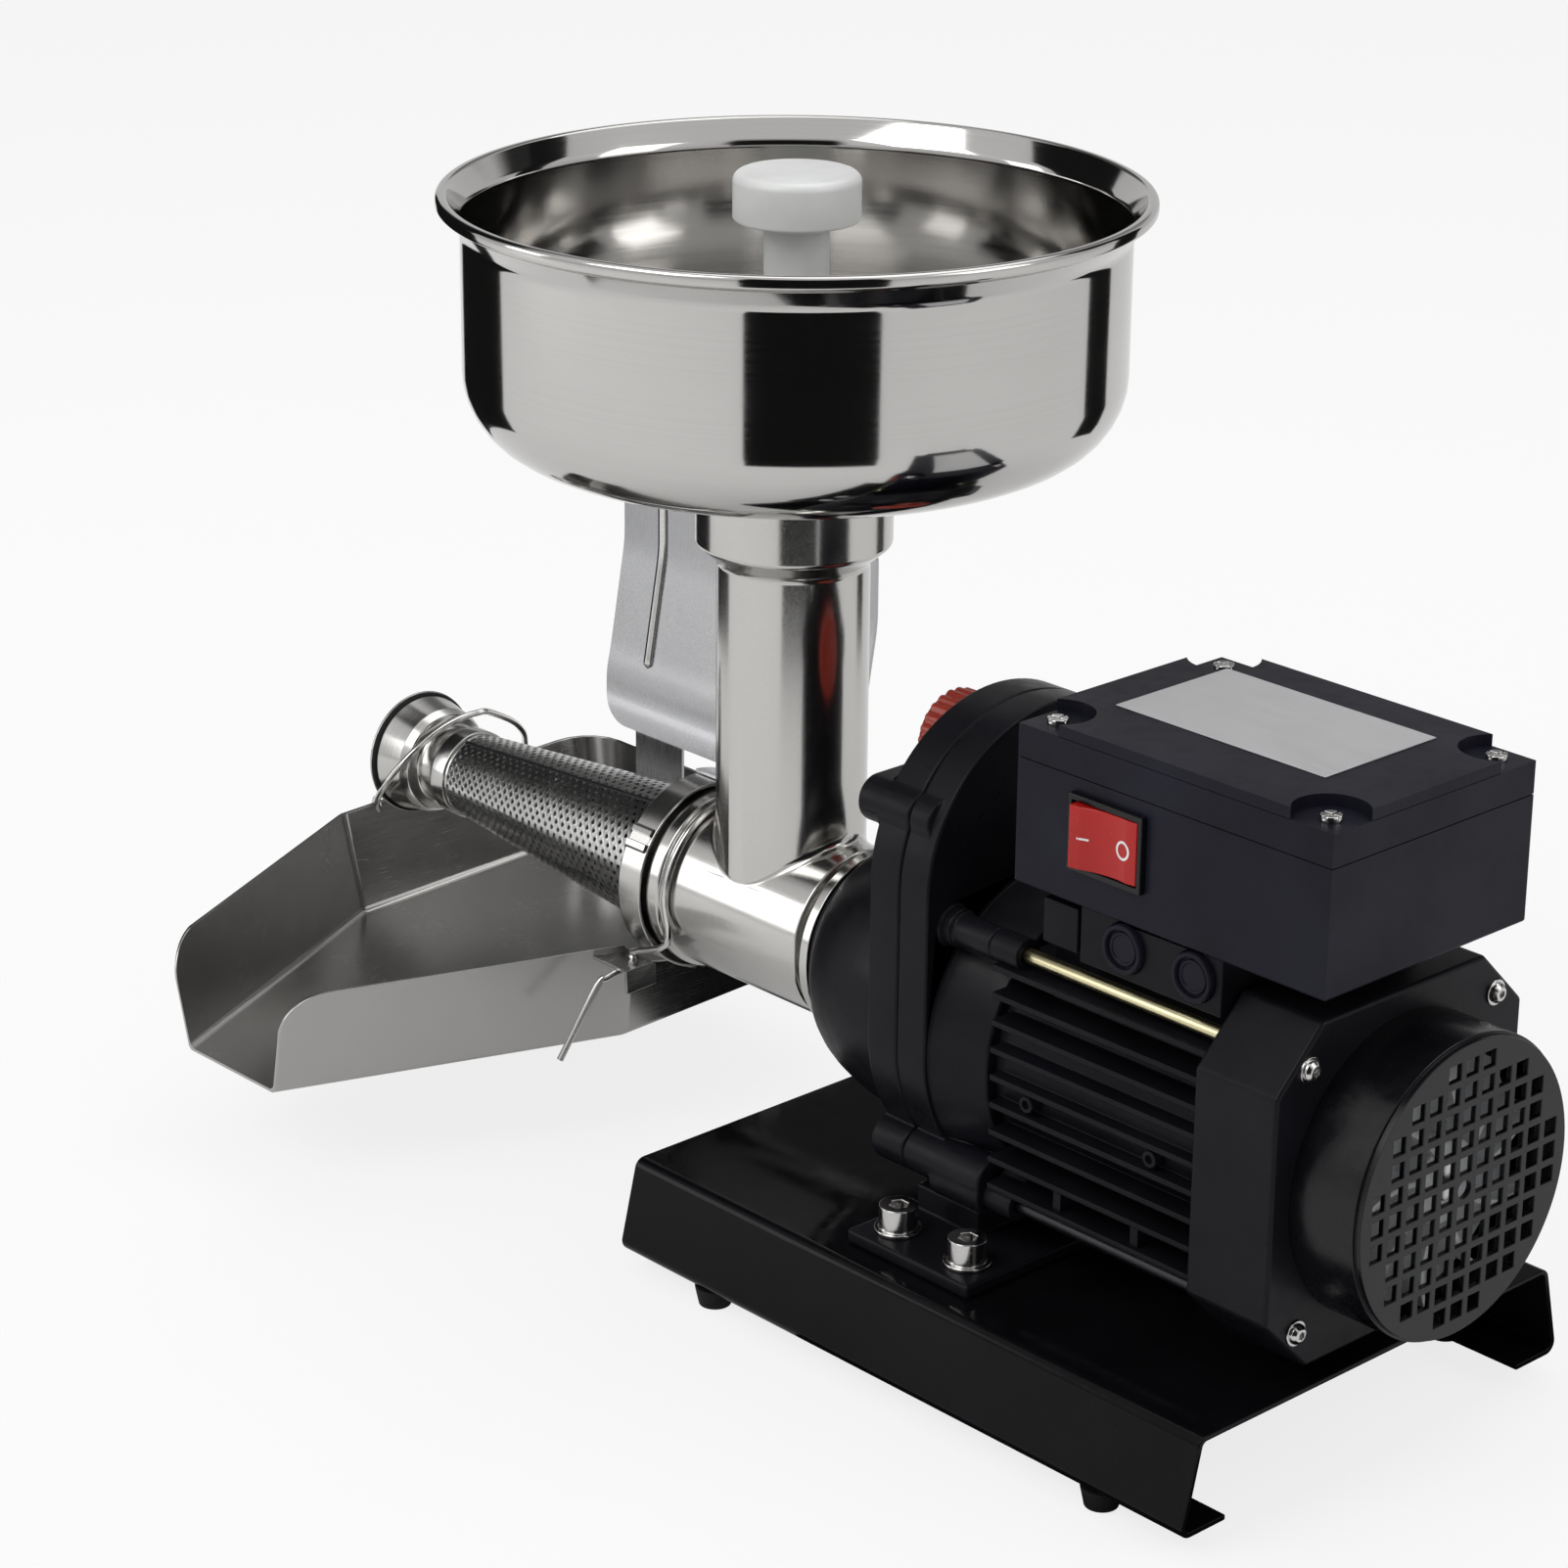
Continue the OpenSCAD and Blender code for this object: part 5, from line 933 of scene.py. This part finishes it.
# The floor keeps its shadows, and a share of it shines for the camera and for what it is reflected in
floor_mat = bpy.data.materials.new("floor_white")
floor_mat.use_nodes = True
t = Tree(floor_mat.node_tree)
t.nt.nodes.clear()
diffuse = t.node("ShaderNodeBsdfDiffuse")
diffuse.inputs["Color"].default_value = (0.93, 0.93, 0.93, 1)
glow = t.node("ShaderNodeEmission")
glow.inputs["Color"].default_value = (1, 1, 1, 1)
ray = t.node("ShaderNodeLightPath").outputs
reflected = t.math("MULTIPLY", t.math("MAXIMUM", ray["Is Glossy Ray"], ray["Is Transmission Ray"]), 0.2)
share = t.math("MAXIMUM", reflected, t.math("MULTIPLY", ray["Is Camera Ray"], 0.8))
t.put(t.node("ShaderNodeOutputMaterial").inputs[0], t.mix(share, diffuse.outputs[0], glow.outputs[0]))
plane = bmesh.new()
bmesh.ops.create_grid(plane, x_segments=1, y_segments=1, size=9.0)
staged("floor", plane, floor_mat).location = (0, 0, -0.0002)

CAM_AZ = math.radians(47.12)
EYE = Vector((0.88484, -0.95915, 0.68526))
FORWARD = Vector((-0.68808, 0.63896, -0.34392)).normalized()


def area(name, azimuth, elevation, distance, width, height, power):
    """A soft box at a bearing from the camera's side, looking at the object."""
    data = bpy.data.lights.new(name, "AREA")
    data.shape = "RECTANGLE"
    data.size = width
    data.size_y = height
    data.energy = power
    lamp = bpy.data.objects.new(name, data)
    bpy.context.scene.collection.objects.link(lamp)
    a = CAM_AZ + math.radians(azimuth)
    e = math.radians(elevation)
    aim = Vector((-0.1, 0, 0.2))
    lamp.location = aim + distance * Vector((math.sin(a) * math.cos(e), -math.cos(a) * math.cos(e), math.sin(e)))
    lamp.rotation_euler = (aim - lamp.location).to_track_quat("-Z", "Y").to_euler()


area("key", -55, 45, 2.2, 1.2, 1.2, 15)
area("side", -92, 12, 1.9, 0.5, 0.9, 3.2)
area("fill", 65, 30, 2.4, 1.0, 1.6, 8)
area("top", 150, 70, 2.2, 1.6, 1.6, 10)

# The room: plain light, but reflections see it change with bearing and height, and the camera sees a pale backdrop
world = bpy.data.worlds.new("studio")
bpy.context.scene.world = world
world.use_nodes = True
t = Tree(world.node_tree)
t.nt.nodes.clear()


def background(color, strength=1.0):
    n = t.node("ShaderNodeBackground")
    t.put(n.inputs["Color"], color)
    n.inputs["Strength"].default_value = strength
    return n.outputs[0]


direction = t.node("ShaderNodeTexCoord").outputs["Generated"]
up_part = t.parts(direction)[2]
# Bearing of a direction, from 0 to 1 round the room, with the camera's side at 0.5
turn = t.node("ShaderNodeVectorRotate", rotation_type="Z_AXIS")
turn.inputs["Angle"].default_value = -CAM_AZ
t.put(turn.inputs["Vector"], direction)
x, y, z = t.parts(turn.outputs[0])
bearing = t.span(t.math("ARCTAN2", x, t.math("MULTIPLY", y, -1.0)), -math.pi, math.pi, 0.0, 1.0)
STOPS = [(-180, 0.12), (-152, 0.08), (-118, 0.06), (-104, 0.75), (-40, 0.85), (-20, 0.8), (-14, 0.015), (24, 0.015),
         (29, 0.70), (60, 0.85), (100, 0.70), (108, 0.03), (124, 0.03), (134, 0.6), (150, 0.35), (180, 0.12)]
walls = t.ramp(bearing, [((deg + 180) / 360, (v, v, v)) for deg, v in STOPS])
walls.node.color_ramp.interpolation = "EASE"
room = t.mix_color(t.span(up_part, 0.31, 0.26, 0.0, 1.0), walls, (0.62, 0.62, 0.62, 1))
room = t.mix_color(t.span(up_part, 0.60, 0.80, 0.0, 1.0), room, (0.75, 0.75, 0.75, 1))
ray = t.node("ShaderNodeLightPath").outputs
lit = t.mix(ray["Is Glossy Ray"], background((1, 1, 1, 1), 0.50), background(room))
seen = t.mix(ray["Is Camera Ray"], lit, background((0.90, 0.90, 0.90, 1)))
t.put(t.node("ShaderNodeOutputWorld").inputs[0], seen)

# Dark studio cards that only reflections see: three upright round the hopper, and one that lies under the object
CARD_R, CARD_Z0, CARD_Z1, CARD_STEPS = 0.62, 0.001, 0.92, 12
card_mat = bpy.data.materials.new("card_black")
card_mat.use_nodes = True
card_bsdf = card_mat.node_tree.nodes["Principled BSDF"]
card_bsdf.inputs["Base Color"].default_value = (0.012, 0.012, 0.012, 1)
card_bsdf.inputs["Roughness"].default_value = 0.9
card_bsdf.inputs["Specular IOR Level"].default_value = 0.0
cards = []
for first, last in ((-16, 26), (-152, -111), (109, 125)):
    upright = bmesh.new()
    line = []
    for k in range(CARD_STEPS + 1):
        a = CAM_AZ + math.radians(first + (last - first) * k / CARD_STEPS)
        x, y = TUBE_X * MM + CARD_R * math.sin(a), -CARD_R * math.cos(a)
        line.append([upright.verts.new((x, y, z)) for z in (CARD_Z0, CARD_Z1)])
    for a, b in zip(line, line[1:]):
        upright.faces.new((a[0], b[0], b[1], a[1]))
    cards.append(upright)
flat = bmesh.new()
flat.faces.new([flat.verts.new((x, y, 0.0002)) for x, y in (
    (-0.05, -0.10), (0.17, -0.10), (0.17, 0.16), (-0.24, 0.16), (-0.24, 0.03), (-0.05, 0.03))])
cards.append(flat)
for at, bm in enumerate(cards):
    card = staged(f"card_{at}", bm, card_mat)
    card.visible_camera = False
    card.visible_diffuse = False
    card.visible_shadow = False
    card.visible_transmission = False

# Camera: the photo's focal length and optical centre in its pixels, and its small roll
FRAME_PX, FOCAL_PX, CENTRE_PX, SENSOR = 1602, 4408.58, 751.39, 36.0
ROLL = math.radians(0.5136)
cam_data = bpy.data.cameras.new("camera")
cam_data.sensor_width = SENSOR
cam_data.lens = FOCAL_PX * SENSOR / FRAME_PX
cam_data.shift_y = -(FRAME_PX / 2 - CENTRE_PX) / FRAME_PX
cam = bpy.data.objects.new("camera", cam_data)
bpy.context.scene.collection.objects.link(cam)
right = FORWARD.cross(Vector((0, 0, 1))).normalized()
up = right.cross(FORWARD)
across = right * math.cos(ROLL) + up * math.sin(ROLL)
upward = up * math.cos(ROLL) - right * math.sin(ROLL)
cam.matrix_world = Matrix([(across[i], upward[i], -FORWARD[i], EYE[i]) for i in range(3)] + [(0, 0, 0, 1)])
bpy.context.scene.camera = cam
bpy.context.scene.view_settings.view_transform = "Standard"
